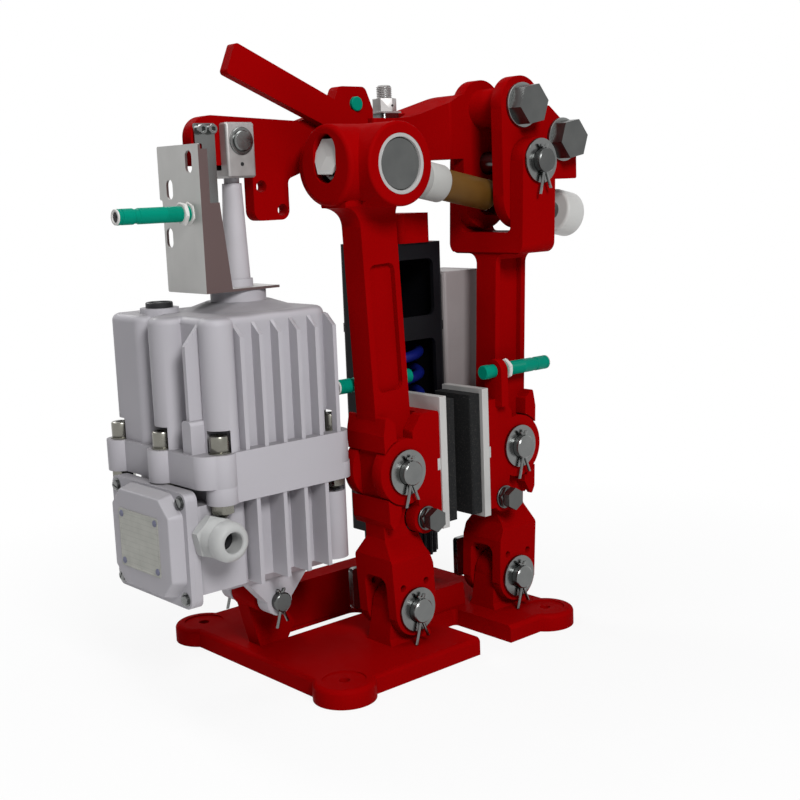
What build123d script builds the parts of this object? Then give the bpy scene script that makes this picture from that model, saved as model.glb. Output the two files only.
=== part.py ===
from build123d import *
import math
import os

os.makedirs("parts", exist_ok=True)

# Shared places. X runs along the hinge pins, Y across the disc, Z up. The disc plane is y = 0.
lever_x = 30.0          # middle plane of both levers
foot_y = 60.6           # lower lever pins, out from the disc plane
foot_z = 43.65
lean = math.radians(2.66)
pad_v = 116.5           # pad pin above the lower pin, along the lever
head_v = 360.5          # head pivot above the lower pin, along the lever
pin_r = 10.0
pin_fit = 0.05          # radial play of a pin in its hole
open_fit = 1.0          # radial play where a closed linkage is opened
gap = 0.5               # flat side play between turning pieces
half_block = 23.0       # half width of the lever foot along X
half_fork = 13.5        # half width of the gap in the foot
half_stem = 11.5        # half thickness of the lever stem along X
half_head = 43.5        # half width of the lever heads along X
cheek_r = 27.0          # round cheeks of the pad holders
level_y = 46.2          # levelling bolts of the pad holders
level_z = 118.0
arm_x = -37.0           # middle plane of the long crank arm, thruster and brake spring
arm_t = 12.0
thr_y = -157.0          # thruster pins
thr_bot_z = 62.0
thr_top_z = 425.8
spring_y = 4.5


def lever_point(side, u, v):
    """Y and Z of a point u outwards of the lower pin and v up along the leaning lever."""
    y = foot_y + u * math.cos(lean) + v * math.sin(lean)
    return (side * y, foot_z - u * math.sin(lean) + v * math.cos(lean))


pad_y, pad_z = lever_point(1, 0, pad_v)
head_y, head_z = lever_point(1, 0, head_v)
eccentric = 31.0        # crank pivot above the spindle pivot
tie_y, tie_z = head_y, head_z - eccentric


def bar_x(x0, x1, y, z, r, mode=Mode.ADD):
    """Round bar or bore along X."""
    with BuildSketch(Plane.YZ.offset(x0)) as face:
        with Locations((y, z)):
            Circle(r)
    extrude(face.sketch, amount=x1 - x0, mode=mode)


def bar_z(x, y, z0, z1, r, mode=Mode.ADD):
    """Round bar or bore along Z."""
    with BuildSketch(Plane.XY.offset(z0)) as face:
        with Locations((x, y)):
            Circle(r)
    extrude(face.sketch, amount=z1 - z0, mode=mode)


def bar_y(y0, y1, x, z, r, mode=Mode.ADD):
    """Round bar or bore along Y."""
    with BuildSketch(Plane.XZ.offset(-y1)) as face:
        with Locations((x, z)):
            Circle(r)
    extrude(face.sketch, amount=y1 - y0, mode=mode)


def hex_x(x0, x1, y, z, flats, turn=0, mode=Mode.ADD):
    """Hexagon prism along X."""
    with BuildSketch(Plane.YZ.offset(x0)) as face:
        with Locations((y, z)):
            RegularPolygon(flats / 2, 6, major_radius=False, rotation=turn)
    extrude(face.sketch, amount=x1 - x0, mode=mode)


def hex_z(x, y, z0, z1, flats, turn=0):
    """Hexagon prism along Z."""
    with BuildSketch(Plane.XY.offset(z0)) as face:
        with Locations((x, y)):
            RegularPolygon(flats / 2, 6, major_radius=False, rotation=turn)
    extrude(face.sketch, amount=z1 - z0)


def hex_y(y0, y1, x, z, flats, turn=0):
    """Hexagon prism along Y."""
    with BuildSketch(Plane.XZ.offset(-y1)) as face:
        with Locations((x, z)):
            RegularPolygon(flats / 2, 6, major_radius=False, rotation=turn)
    extrude(face.sketch, amount=y1 - y0)


def plate_x(x0, x1, points, radius=0, mode=Mode.ADD):
    """Plate across X from a closed row of Y and Z points, its corners rounded."""
    with BuildSketch(Plane.YZ.offset(x0)) as face:
        with BuildLine():
            Polyline(*points, close=True)
        make_face()
        if radius:
            fillet(face.vertices(), radius)
    extrude(face.sketch, amount=x1 - x0, mode=mode)


def plate_z(z0, z1, points, radius=0, mode=Mode.ADD):
    """Plate across Z from a closed row of X and Y points, its corners rounded."""
    with BuildSketch(Plane.XY.offset(z0)) as face:
        with BuildLine():
            Polyline(*points, close=True)
        make_face()
        if radius:
            fillet(face.vertices(), radius)
    extrude(face.sketch, amount=z1 - z0, mode=mode)


def plate_y(y0, y1, points, radius=0, mode=Mode.ADD):
    """Plate across Y from a closed row of X and Z points, its corners rounded."""
    with BuildSketch(Plane.XZ.offset(-y1)) as face:
        with BuildLine():
            Polyline(*points, close=True)
        make_face()
        if radius:
            fillet(face.vertices(), radius)
    extrude(face.sketch, amount=y1 - y0, mode=mode)


def block(x0, x1, y0, y1, z0, z1, radius=0, mode=Mode.ADD):
    """Upright block, its four upright corners rounded."""
    plate_z(z0, z1, [(x0, y0), (x1, y0), (x1, y1), (x0, y1)], radius, mode)


# Base: one casting with four bolt ears, two lever lugs, the thruster lug and the spring anchor
base_t = 15.0
ear_r = 25.0
bolt_x = (-126.0, 70.0)
bolt_y = (-153.0, 77.0)
foot_hole_r = 4.5
disc_slot_y = 18.5
disc_slot_x = 15.7
base_x = (-139.5, 83.5)
base_y = (-170.0, 94.0)
lug_top = 18.0
lug_half = half_fork - gap
anchor_z = 38.0
anchor_r = 6.0
lug_parts = []
for side in (-1, 1):
    # Lever lug, wider at its foot than round the pin
    with BuildPart() as lug:
        plate_x(lever_x - 22, lever_x + 22,
                [(side * foot_y - 24, 5), (side * foot_y + 24, 5),
                 (side * foot_y + lug_top, foot_z), (side * foot_y - lug_top, foot_z)])
        bar_x(lever_x - 22, lever_x + 22, side * foot_y, foot_z, lug_top)
        with BuildSketch(Plane.XZ.offset(-side * foot_y - 30)) as taper:
            with BuildLine():
                Polyline((lever_x - 21, 5), (lever_x + 21, 5), (lever_x + lug_half, 20),
                         (lever_x + lug_half - 2, foot_z + lug_top), (lever_x - lug_half + 2, foot_z + lug_top),
                         (lever_x - lug_half, 20), close=True)
            make_face()
        extrude(taper.sketch, amount=60, mode=Mode.INTERSECT)
    lug_parts.append(lug.part)
with BuildPart() as base_frame:
    block(base_x[0], base_x[1], base_y[0], base_y[1], 0, base_t, 3)
    for x in bolt_x:
        for y in bolt_y:
            bar_z(x, y, 0, base_t, ear_r)
    fillet(base_frame.faces().sort_by(Axis.Z)[-1].outer_wire().edges(), 4)
    block(disc_slot_x, base_x[1] + 5, -disc_slot_y, disc_slot_y, -1, base_t + 1, 4, Mode.SUBTRACT)
    block(-79, -37, -136, -18, -1, base_t + 1, 10, Mode.SUBTRACT)
    # Stiffening beams behind the disc slot and along the back
    plate_y(-36, 36, [(-2, 5), (12, 5), (9, 34), (1, 34)], 1)
    plate_x(-98, -77, [(-126, 5), (78, 5), (60, 44), (-100, 44)], 3)
    for side, lug_part in zip((-1, 1), lug_parts):
        add(lug_part)
        bar_x(lever_x - 24, lever_x + 24, side * foot_y, foot_z, pin_r + pin_fit, Mode.SUBTRACT)
    # Thruster lug and the two spring anchor cheeks
    plate_x(arm_x - 16, arm_x, [(thr_y + 4, 5), (thr_y + 24, 5), (thr_y + 38, base_t + 12),
                                (thr_y + 12, thr_bot_z + 4), (thr_y - 12, thr_bot_z + 4)])
    bar_x(arm_x - 16, arm_x + 16, thr_y, thr_bot_z, 13)
    bar_x(arm_x - 20, arm_x + 20, thr_y, thr_bot_z, 8 + pin_fit, Mode.SUBTRACT)
    for x in (arm_x - 19, arm_x + 11):
        plate_x(x, x + 8, [(spring_y - 16, 5), (spring_y + 16, 5), (spring_y + 11, anchor_z), (spring_y - 11, anchor_z)])
        bar_x(x, x + 8, spring_y, anchor_z, 11)
        bar_x(x - 1, x + 9, spring_y, anchor_z, anchor_r + pin_fit, Mode.SUBTRACT)
    for x in bolt_x:
        for y in bolt_y:
            bar_z(x, y, base_t - 1, base_t + 20, 17, Mode.SUBTRACT)
            bar_z(x, y, -1, base_t + 1, foot_hole_r, Mode.SUBTRACT)
base_frame.part.label = "base_frame"
export_step(base_frame.part, "parts/base_frame.step")


def stem_outline(side):
    """Side view of a lever without its head: rounded foot, block and stem."""
    with BuildSketch(Plane.YZ.offset(lever_x - half_head)) as face:
        with BuildLine():
            Polyline(*[lever_point(side, u, v) for u, v in
                       [(22, -4), (23, 47), (18.5, 62), (18.5, head_v - 20), (-18.5, head_v - 20),
                        (-18.5, 66), (-17, 49), (-22, 34), (-22, -4)]], close=True)
        make_face()
        with Locations(lever_point(side, 0, 0)):
            Circle(22)
    return face.sketch


pad_flange = {}
for side in (-1, 1):
    # Raised outer flange beside the round cheeks of the pad holder
    with BuildPart() as flange:
        plate_x(lever_x - half_block, lever_x + half_block,
                [lever_point(side, u, v) for u, v in
                 [(8, 84), (17, 70), (21, 78), (21, 150), (17, 166), (8, 158)]], 2)
        bar_x(lever_x - 30, lever_x + 30, side * pad_y, pad_z, cheek_r + 1.5, Mode.SUBTRACT)
    pad_flange[side] = flange.part


def lever_details(side):
    """What both levers share: pad boss, bolt notch, stem pockets, foot gap and pin holes."""
    y, z = side * pad_y, pad_z
    add(pad_flange[side])
    # Notch that clears the levelling bolt of the pad holder
    bar_x(lever_x - 30, lever_x + 30, side * level_y, level_z, 14, Mode.SUBTRACT)
    for face_x in (lever_x + half_stem - 5, lever_x - half_stem - 1):
        plate_x(face_x, face_x + 6,
                [lever_point(side, u, v) for u, v in [(-13, 182), (13, 182), (13, 284), (-13, 284)]],
                6, Mode.SUBTRACT)
    with BuildSketch(Plane.XZ.offset(-150)) as arch:
        with Locations((lever_x, 20)):
            RectangleRounded(2 * half_fork, 105.5, 8)
    extrude(arch.sketch, amount=300, mode=Mode.SUBTRACT)
    bar_x(lever_x - 30, lever_x + 30, side * foot_y, foot_z, pin_r + pin_fit, Mode.SUBTRACT)
    bar_x(lever_x - 30, lever_x + 30, y, z, pin_r + pin_fit, Mode.SUBTRACT)
    for u in (-12.6, 12.6):
        hole_y, hole_z = lever_point(side, u, 21)
        bar_x(lever_x - 30, lever_x + 30, hole_y, hole_z, 3, Mode.SUBTRACT)
    for v in (73, 132):
        hole_y, hole_z = lever_point(side, 15, v)
        bar_y(side * hole_y - 8, side * hole_y + 8, lever_x + 17 - (v > 100) * 4, hole_z, 2.5, Mode.SUBTRACT)


# Near lever: cast, with the trunnion boss across its head and a round nut boss facing outwards
boss_r = 32.0
nut_boss_r = 31.0
nut_boss_y = -117.0
trunnion_r = 20.0
bush_r = 23.0
neck_top = 378.0        # where the stem runs into the head
near_front = [(lever_x - 23, 10), (lever_x + 23, 10), (lever_x + 23, 88), (lever_x + half_stem, 104),
              (lever_x + half_stem, neck_top), (lever_x + 28, neck_top), (lever_x + 28, 450),
              (lever_x - 28, 450), (lever_x - 28, neck_top), (lever_x - half_stem, neck_top),
              (lever_x - half_stem, 104), (lever_x - 23, 88)]
with BuildPart() as near_lever:
    extrude(stem_outline(-1), amount=2 * half_head)
    # Hollow corner under the nut boss
    plate_x(lever_x - 15, lever_x + 15,
            [lever_point(-1, u, v) for u, v in
             [(17, head_v - 46), (34.5, head_v - 46), (34.5, head_v - 26), (17, head_v - 20)]])
    bar_x(lever_x - half_head - 1, lever_x + half_head + 1, *lever_point(-1, 34.5, head_v - 46), 16, Mode.SUBTRACT)
    with BuildSketch(Plane.XZ.offset(-160)) as front:
        with BuildLine():
            Polyline(*near_front, close=True)
        make_face()
        fillet(front.vertices().filter_by_position(Axis.Y, neck_top - 1, neck_top + 1).filter_by_position(
            Axis.X, lever_x - 12, lever_x + 12), 14)
        fillet(front.vertices().filter_by_position(Axis.Y, 80, 110), 5)
    extrude(front.sketch, amount=320, mode=Mode.INTERSECT)
    bar_x(lever_x - half_head, lever_x + half_head, -head_y, head_z, boss_r)
    bar_y(nut_boss_y, -head_y, lever_x, head_z + 1, nut_boss_r)
    fillet(near_lever.faces().sort_by(Axis.Y)[0].edges(), 4)
    for x in (0, -1):
        fillet(near_lever.faces().filter_by(Axis.X).sort_by(Axis.X)[x].edges(), 2.5)
    # Cross bore, the tunnel for the spindle and the oval mouth over its nut
    bar_x(lever_x - 60, lever_x + 60, -head_y, head_z, bush_r + pin_fit, Mode.SUBTRACT)
    bar_y(nut_boss_y + 6, -head_y, lever_x, head_z + 5, 21, Mode.SUBTRACT)
    with BuildSketch(Plane.XZ.offset(-nut_boss_y - 10)) as mouth:
        with Locations((lever_x, head_z + 6)):
            SlotOverall(38, 27, rotation=90)
    extrude(mouth.sketch, amount=20, mode=Mode.SUBTRACT)
    bar_y(-head_y, -30, lever_x, head_z - 7, 19.5, Mode.SUBTRACT)
    lever_details(-1)
near_lever.part.label = "near_lever"
export_step(near_lever.part, "parts/near_lever.step")

# Far lever: the same stem under a forked head that holds the crank pin
far_head = [lever_point(1, u, v) for u, v in [(-20, 284), (20, 284), (20, head_v), (-20, head_v)]]
fork_t = 14.0
fork_foot = 327.0
far_front = [(lever_x - 23, 10), (lever_x + 23, 10), (lever_x + 23, 88), (lever_x + half_stem, 104),
             (lever_x + half_stem, fork_foot), (lever_x + half_head, fork_foot),
             (lever_x + half_head, 450), (lever_x - half_head, 450), (lever_x - half_head, fork_foot),
             (lever_x - half_stem, fork_foot), (lever_x - half_stem, 104), (lever_x - 23, 88)]
with BuildPart() as far_lever:
    extrude(stem_outline(1), amount=2 * half_head)
    plate_x(lever_x - half_head, lever_x + half_head, far_head)
    bar_x(lever_x - half_head, lever_x + half_head, head_y, head_z, 20)
    with BuildSketch(Plane.XZ.offset(-160)) as front:
        with BuildLine():
            Polyline(*far_front, close=True)
        make_face()
        fillet(front.vertices().filter_by_position(Axis.Y, fork_foot - 1, fork_foot + 1), 9)
        fillet(front.vertices().filter_by_position(Axis.Y, 80, 110), 5)
    extrude(front.sketch, amount=320, mode=Mode.INTERSECT)
    plate_y(0, 140, [(lever_x - half_head + fork_t, fork_foot + 18), (lever_x + half_head - fork_t, fork_foot + 18),
                     (lever_x + half_head - fork_t, 470), (lever_x - half_head + fork_t, 470)], 5, Mode.SUBTRACT)
    bar_x(lever_x - 60, lever_x + 60, head_y, head_z, pin_r + pin_fit, Mode.SUBTRACT)
    lever_details(1)
far_lever.part.label = "far_lever"
export_step(far_lever.part, "parts/far_lever.step")


def ring_x(x0, x1, y, z, r, bore):
    """Washer or sleeve along X."""
    bar_x(x0, x1, y, z, r)
    bar_x(x0 - 1, x1 + 1, y, z, bore, Mode.SUBTRACT)


# Hinge pins, their washers and the plates that keep them from turning
washer_r = 18.5
washer_t = 3.0
pin_end = 9.5           # pin beyond the face that its washer lies on
split_r = 2.0           # hole of the split pin
keeper_t = 5.0
front_x = lever_x + half_block
rear_x = lever_x - half_block
for side, name in ((-1, "near"), (1, "far")):
    y = side * foot_y
    with BuildPart() as foot_pin:
        bar_x(rear_x - 8, front_x + pin_end, y, foot_z, pin_r)
        # Flat groove for the keeper plate
        block(rear_x - keeper_t, rear_x, y - 12, y + 12, foot_z - 4, foot_z + 12, 0, Mode.SUBTRACT)
        bar_z(front_x + pin_end - 3.5, y, foot_z - 15, foot_z + 15, split_r, Mode.SUBTRACT)
        chamfer(foot_pin.faces().sort_by(Axis.X)[-1].edges(), 1)
    foot_pin.part.label = name + "_foot_pin"
    export_step(foot_pin.part, "parts/" + name + "_foot_pin.step")

    with BuildPart() as keeper:
        plate_x(rear_x - keeper_t, rear_x,
                [(y - 29, foot_z - 4 + pin_fit), (y + 29, foot_z - 4 + pin_fit), (y + 29, foot_z + 31),
                 (y - 29, foot_z + 31)], 3)
        for u in (-12.6, 12.6):
            hole_y, hole_z = lever_point(side, u, 21)
            bar_x(rear_x - 10, rear_x + 1, hole_y, hole_z, 3, Mode.SUBTRACT)
    keeper.part.label = name + "_foot_keeper"
    export_step(keeper.part, "parts/" + name + "_foot_keeper.step")

with BuildPart() as near_foot_washer:
    ring_x(front_x, front_x + washer_t, -foot_y, foot_z, washer_r, pin_r + 0.2)
near_foot_washer.part.label = "near_foot_washer"
export_step(near_foot_washer.part, "parts/near_foot_washer.step")

with BuildPart() as far_lever_washers:
    ring_x(front_x, front_x + washer_t, foot_y, foot_z, washer_r, pin_r + 0.2)
    ring_x(lever_x + half_head, lever_x + half_head + washer_t, head_y, head_z, washer_r, pin_r + 0.2)
far_lever_washers.part.label = "far_lever_washers"
export_step(far_lever_washers.part, "parts/far_lever_washers.step")

with BuildPart() as crank_pin:
    bar_x(lever_x - half_head, lever_x + half_head + pin_end, head_y, head_z, pin_r)
    bar_x(lever_x - half_head - 5, lever_x - half_head, head_y, head_z, pin_r + 5)
    bar_z(lever_x + half_head + pin_end - 3.5, head_y, head_z - 15, head_z + 15, split_r, Mode.SUBTRACT)
    chamfer(crank_pin.faces().sort_by(Axis.X)[-1].edges(), 1)
crank_pin.part.label = "crank_pin"
export_step(crank_pin.part, "parts/crank_pin.step")

# Pad holders with their pads. The disc runs in the gap between the linings.
pad_gap = 18.0
lining_t = 12.0
plate_t = 7.3
pad_x = 22.0            # half width of a lining
pad_z0 = 109.0
pad_z1 = 212.0
key_z = (155.0, 165.0)
key_t = 3.0
lining_y = pad_gap / 2
plate_y0 = lining_y + lining_t
holder_y = plate_y0 + plate_t
slot_y = 43.0
level_r = 5.0
sensor_r = 6.0
sensor_x = 21.0         # wear sensors, to the side of the lever
sensor_z = 229.0
sensor_length = 79.5
tab_y = 38.0
tab_t = 8.0
for side, name, tip in ((-1, "near", 20.0), (1, "far", 25.5)):
    y = side * pad_y
    tab_x = lever_x + side * sensor_x
    with BuildPart() as holder:
        plate_x(rear_x, front_x, [(side * holder_y, level_z - 8), (side * 50, level_z - 8), (side * 58, pad_z),
                                  (side * 58, 192), (side * 48, 205), (side * holder_y, 205)], 3)
        bar_x(rear_x, front_x, y, pad_z, cheek_r)
        bar_x(rear_x, front_x, side * level_y, level_z, 13)
        block(lever_x - half_stem - gap, lever_x + half_stem + gap, side * slot_y, side * (pad_y + 40),
              90, 240, 0, Mode.SUBTRACT)
        # Tab for the wear sensor
        with BuildSketch(Plane.XZ.offset(-side * tab_y - (tab_t if side > 0 else 0))) as tab:
            with Locations((tab_x, sensor_z)):
                Circle(10)
            with Locations((tab_x, sensor_z - 15)):
                Rectangle(20, 30)
        extrude(tab.sketch, amount=tab_t)
        block(rear_x - 1, front_x + 1, side * (holder_y - 1), side * (holder_y + key_t), key_z[0], key_z[1], 0,
              Mode.SUBTRACT)
        bar_x(rear_x - 1, front_x + 1, y, pad_z, pin_r + pin_fit, Mode.SUBTRACT)
        bar_x(rear_x - 1, front_x + 1, side * level_y, level_z, level_r + pin_fit, Mode.SUBTRACT)
        bar_y(min(side * tab_y, side * (tab_y + tab_t)) - 1, max(side * tab_y, side * (tab_y + tab_t)) + 1,
              tab_x, sensor_z, sensor_r + pin_fit, Mode.SUBTRACT)
    holder.part.label = name + "_pad_holder"
    export_step(holder.part, "parts/" + name + "_pad_holder.step")

    with BuildPart() as backplate:
        block(lever_x - pad_x - 2.5, lever_x + pad_x + 2.5, side * plate_y0, side * holder_y, pad_z0 - 4, pad_z1 + 4)
        block(rear_x, front_x, side * holder_y, side * (holder_y + key_t), key_z[0], key_z[1])
    backplate.part.label = name + "_backplate"
    export_step(backplate.part, "parts/" + name + "_backplate.step")

    with BuildPart() as lining:
        block(lever_x - pad_x, lever_x + pad_x, side * lining_y, side * plate_y0, pad_z0, pad_z1, 2)
    lining.part.label = name + "_lining"
    export_step(lining.part, "parts/" + name + "_lining.step")

    with BuildPart() as pad_pin:
        bar_x(rear_x - 5, rear_x, y, pad_z, pin_r + 7)
        bar_x(rear_x, front_x + pin_end, y, pad_z, pin_r)
        bar_z(front_x + pin_end - 3.5, y, pad_z - 15, pad_z + 15, split_r, Mode.SUBTRACT)
        chamfer(pad_pin.faces().sort_by(Axis.X)[-1].edges(), 1)
    pad_pin.part.label = name + "_pad_pin"
    export_step(pad_pin.part, "parts/" + name + "_pad_pin.step")

    with BuildPart() as pad_washer:
        ring_x(front_x, front_x + washer_t, y, pad_z, washer_r, pin_r + 0.2)
    pad_washer.part.label = name + "_pad_washer"
    export_step(pad_washer.part, "parts/" + name + "_pad_washer.step")

    with BuildPart() as level_bolt:
        bar_x(rear_x, front_x + 7.5, side * level_y, level_z, level_r)
        hex_x(front_x + 7.5, front_x + 14, side * level_y, level_z, 17, 30)
    level_bolt.part.label = name + "_level_bolt"
    export_step(level_bolt.part, "parts/" + name + "_level_bolt.step")

    with BuildPart() as wear_sensor:
        bar_y(min(side * tip, side * (tip + sensor_length)), max(side * tip, side * (tip + sensor_length)),
              tab_x, sensor_z, sensor_r)
    wear_sensor.part.label = name + "_wear_sensor"
    export_step(wear_sensor.part, "parts/" + name + "_wear_sensor.step")

# Tie spindle between the two heads: it slopes from the near trunnion down to the crank's trunnion
tie_slope = math.atan2(head_z - tie_z, 2 * head_y)
tie_length = math.hypot(head_z - tie_z, 2 * head_y)
tie_plane = Plane(origin=(lever_x, -head_y, head_z), x_dir=(1, 0, 0),
                  z_dir=(0, math.cos(tie_slope), -math.sin(tie_slope)))
tie_r = 8.0
tie_nut_flats = 24.0
tie_nut_t = 13.0
trunnion_r = 20.0
bush_r = 23.0
end_r = 14.0
journal_r = 9.0
near_nut_flats = 30.0
tube_start = 82.0
cap_start = 222.0


def bar_tie(d0, d1, r, mode=Mode.ADD):
    """Round bar or bore along the tie spindle, from d0 to d1 past the near trunnion."""
    with BuildSketch(tie_plane.offset(d0)) as face:
        Circle(r)
    extrude(face.sketch, amount=d1 - d0, mode=mode)


with BuildPart() as near_head_bush:
    ring_x(lever_x - half_head, lever_x + half_head, -head_y, head_z, bush_r, trunnion_r + pin_fit)
    bar_tie(-40, 40, 19.5, Mode.SUBTRACT)
near_head_bush.part.label = "near_head_bush"
export_step(near_head_bush.part, "parts/near_head_bush.step")

with BuildPart() as tie_trunnion:
    bar_x(lever_x - half_head + 1.5, lever_x + half_head - 1.5, -head_y, head_z, trunnion_r)
    chamfer(tie_trunnion.faces().filter_by(Axis.X).edges(), 1)
    bar_tie(-30, -trunnion_r + 1, near_nut_flats / 2 + 3, Mode.SUBTRACT)
    bar_tie(trunnion_r - 1, 30, 17, Mode.SUBTRACT)
    bar_tie(-30, 30, tie_r + pin_fit, Mode.SUBTRACT)
tie_trunnion.part.label = "tie_trunnion"
export_step(tie_trunnion.part, "parts/tie_trunnion.step")

with BuildPart() as tie_spindle:
    bar_tie(-trunnion_r - tie_nut_t - 4, cap_start + 14, tie_r)
tie_spindle.part.label = "tie_spindle"
export_step(tie_spindle.part, "parts/tie_spindle.step")

with BuildPart() as tie_nuts:
    for d, flats in ((1 - trunnion_r - tie_nut_t, near_nut_flats),
                     (tie_length - end_r / 2 - tie_nut_t, tie_nut_flats), (tie_length + end_r / 2, tie_nut_flats)):
        with BuildSketch(tie_plane.offset(d)) as face:
            RegularPolygon(flats / 2, 6, major_radius=False, rotation=30)
            Circle(tie_r + pin_fit, mode=Mode.SUBTRACT)
        extrude(face.sketch, amount=tie_nut_t)
tie_nuts.part.label = "tie_nuts"
export_step(tie_nuts.part, "parts/tie_nuts.step")

boot_r = 15.5
with BuildPart() as tie_boot:
    # Plain rubber sleeve with one groove near its outer end
    with BuildSketch(Plane.XZ) as half:
        with BuildLine():
            Polyline((tie_r + 1, trunnion_r - 1), (boot_r, trunnion_r - 1), (boot_r, 60), (boot_r - 1, 61.5),
                     (boot_r, 63), (boot_r, tube_start - 1), (boot_r - 1, tube_start), (tie_r + 1, tube_start), close=True)
        make_face()
    revolve(half.sketch, Axis.Z)
tie_boot.part.locate(tie_plane.location)
tie_boot.part.label = "tie_boot"
export_step(tie_boot.part, "parts/tie_boot.step")

with BuildPart() as adjuster_tube:
    bar_tie(tube_start, tie_length - end_r / 2 - tie_nut_t, 13)
    bar_tie(tube_start, tie_length - end_r / 2 - tie_nut_t, tie_r + pin_fit, Mode.SUBTRACT)
adjuster_tube.part.label = "adjuster_tube"
export_step(adjuster_tube.part, "parts/adjuster_tube.step")

cheek_t = 12.0
crank_half = half_head - 14.0 - gap       # outer faces of the crank cheeks, inside the far fork
trunnion_half = crank_half - cheek_t - gap
with BuildPart() as end_trunnion:
    bar_x(lever_x - trunnion_half, lever_x + trunnion_half, tie_y, tie_z, end_r)
    bar_x(lever_x - crank_half + 0.5, lever_x + crank_half - 0.5, tie_y, tie_z, journal_r)
    bar_tie(tie_length - 30, tie_length - end_r / 2, 15, Mode.SUBTRACT)
    bar_tie(tie_length + end_r / 2, tie_length + 30, 15, Mode.SUBTRACT)
    bar_tie(tie_length - 30, tie_length + 30, tie_r + pin_fit, Mode.SUBTRACT)
end_trunnion.part.label = "end_trunnion"
export_step(end_trunnion.part, "parts/end_trunnion.step")

with BuildPart() as end_cap:
    bar_tie(cap_start, cap_start + 23, 20)
    fillet(end_cap.edges(), 3)
    bar_tie(cap_start - 1, cap_start + 14, tie_r + pin_fit, Mode.SUBTRACT)
end_cap.part.label = "end_cap"
export_step(end_cap.part, "parts/end_cap.step")

# Bell crank: two cheeks round the far pivot, an arm that steps back and a long plate to the thruster
bolts = [(71.8, 450.0), (121.6, 421.5)]
bolt_r = 10.0
bolt_flats = 30.0
cheek_outline = [(48, 374), (48, 450), (106.8, 450), (126, 436), (141, 412), (141, 388), (100, 388), (100, 374)]
spring_top = 432.0      # trunnion of the spring rod
spring_trunnion_r = 8.0
arm_half = 14.0
pocket_half = 9.5


def cheek(x0):
    """Cheek of the crank, its corners rounded about the bolt and the spindle pivot."""
    plate_x(x0, x0 + cheek_t, cheek_outline, 2)
    bar_x(x0, x0 + cheek_t, bolts[0][0], bolts[0][1], 24)
    bar_x(x0, x0 + cheek_t, 74, 374, 26)
    bar_x(x0 - 1, x0 + cheek_t + 1, head_y, head_z, pin_r + pin_fit, Mode.SUBTRACT)
    bar_x(x0 - 1, x0 + cheek_t + 1, tie_y, tie_z, journal_r + open_fit, Mode.SUBTRACT)


with BuildPart() as arm_shape:
    plate_z(408, 470, [(arm_x - arm_half, -20), (arm_x - arm_half, 25), (-16, 53), (13, 53), (13, 34), (-23, 2),
                       (-23, -20)], 3)
    with BuildSketch(Plane.YZ.offset(-80)) as top:
        with BuildLine():
            Polyline((-30, 400), (-30, 444), (12, 444), (48, 462), (60, 462), (60, 400), close=True)
        make_face()
        fillet(top.vertices().sort_by(Axis.X)[2:4], 20)
    extrude(top.sketch, amount=120, mode=Mode.INTERSECT)

with BuildPart() as bell_crank:
    cheek(lever_x - crank_half)
    for y, z in bolts:
        bar_x(lever_x - crank_half, lever_x + crank_half - cheek_t, y, z, 16)
    add(arm_shape.part)
    with BuildSketch(Plane.YZ.offset(arm_x - arm_t / 2)) as long_plate:
        with BuildLine():
            Polyline((-195.5, 408), (-195.5, 443), (-177, 445.7), (-92, 441.6), (-58, 452), (-50, 470), (-22, 470),
                     (-14, 452), (-14, 409), (-92, 401), (-106.6, 396), (-106.6, 364), (-141, 364), (-141, 402),
                     (-146, 408), close=True)
        make_face()
        fillet(long_plate.vertices().group_by(Axis.X)[0].sort_by(Axis.Y)[-1], 16)
        fillet([v for v in long_plate.vertices() if abs(v.Y - 364) < 0.1], 8)
        fillet([v for v in long_plate.vertices() if abs(v.Y - 470) < 0.1], 6)
        fillet([v for v in long_plate.vertices() if abs(v.Y - 396) < 0.1 or abs(v.Y - 452) < 0.1], 5)
    extrude(long_plate.sketch, amount=arm_t)
    # Pocket and cross hole for the trunnion of the spring rod
    block(arm_x - pocket_half, arm_x + pocket_half, spring_y - 16.5, spring_y + 16.5, 400, 480, 3, Mode.SUBTRACT)
    bar_x(arm_x - 20, arm_x + 20, spring_y, spring_top, spring_trunnion_r + open_fit, Mode.SUBTRACT)
    bar_x(arm_x - 20, arm_x + 20, thr_y, thr_top_z, 8 + open_fit, Mode.SUBTRACT)
    for y, z in ((-133, 390.7), (-113.3, 371.6)):
        bar_x(arm_x - 20, arm_x + 20, y, z, 5, Mode.SUBTRACT)
    bar_x(arm_x - 20, arm_x + 20, -33, 455.8, sensor_r + pin_fit, Mode.SUBTRACT)
    for y, z in bolts:
        bar_x(lever_x - crank_half - 1, lever_x + crank_half, y, z, bolt_r + pin_fit, Mode.SUBTRACT)
bell_crank.part.label = "bell_crank"
export_step(bell_crank.part, "parts/bell_crank.step")

with BuildPart() as crank_plate:
    cheek(lever_x + crank_half - cheek_t)
    for y, z in bolts:
        bar_x(lever_x, lever_x + 60, y, z, bolt_r + pin_fit, Mode.SUBTRACT)
crank_plate.part.label = "crank_plate"
export_step(crank_plate.part, "parts/crank_plate.step")

with BuildPart() as crank_washers:
    for y, z in bolts:
        ring_x(lever_x + crank_half, lever_x + crank_half + washer_t, y, z, washer_r, bolt_r + 0.2)
crank_washers.part.label = "crank_washers"
export_step(crank_washers.part, "parts/crank_washers.step")

with BuildPart() as crank_bolts:
    for y, z in bolts:
        bar_x(lever_x - crank_half - 19, lever_x + crank_half + washer_t, y, z, bolt_r)
        hex_x(lever_x + crank_half + washer_t, lever_x + crank_half + washer_t + 12.5, y, z, bolt_flats, 10)
crank_bolts.part.label = "crank_bolts"
export_step(crank_bolts.part, "parts/crank_bolts.step")

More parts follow.
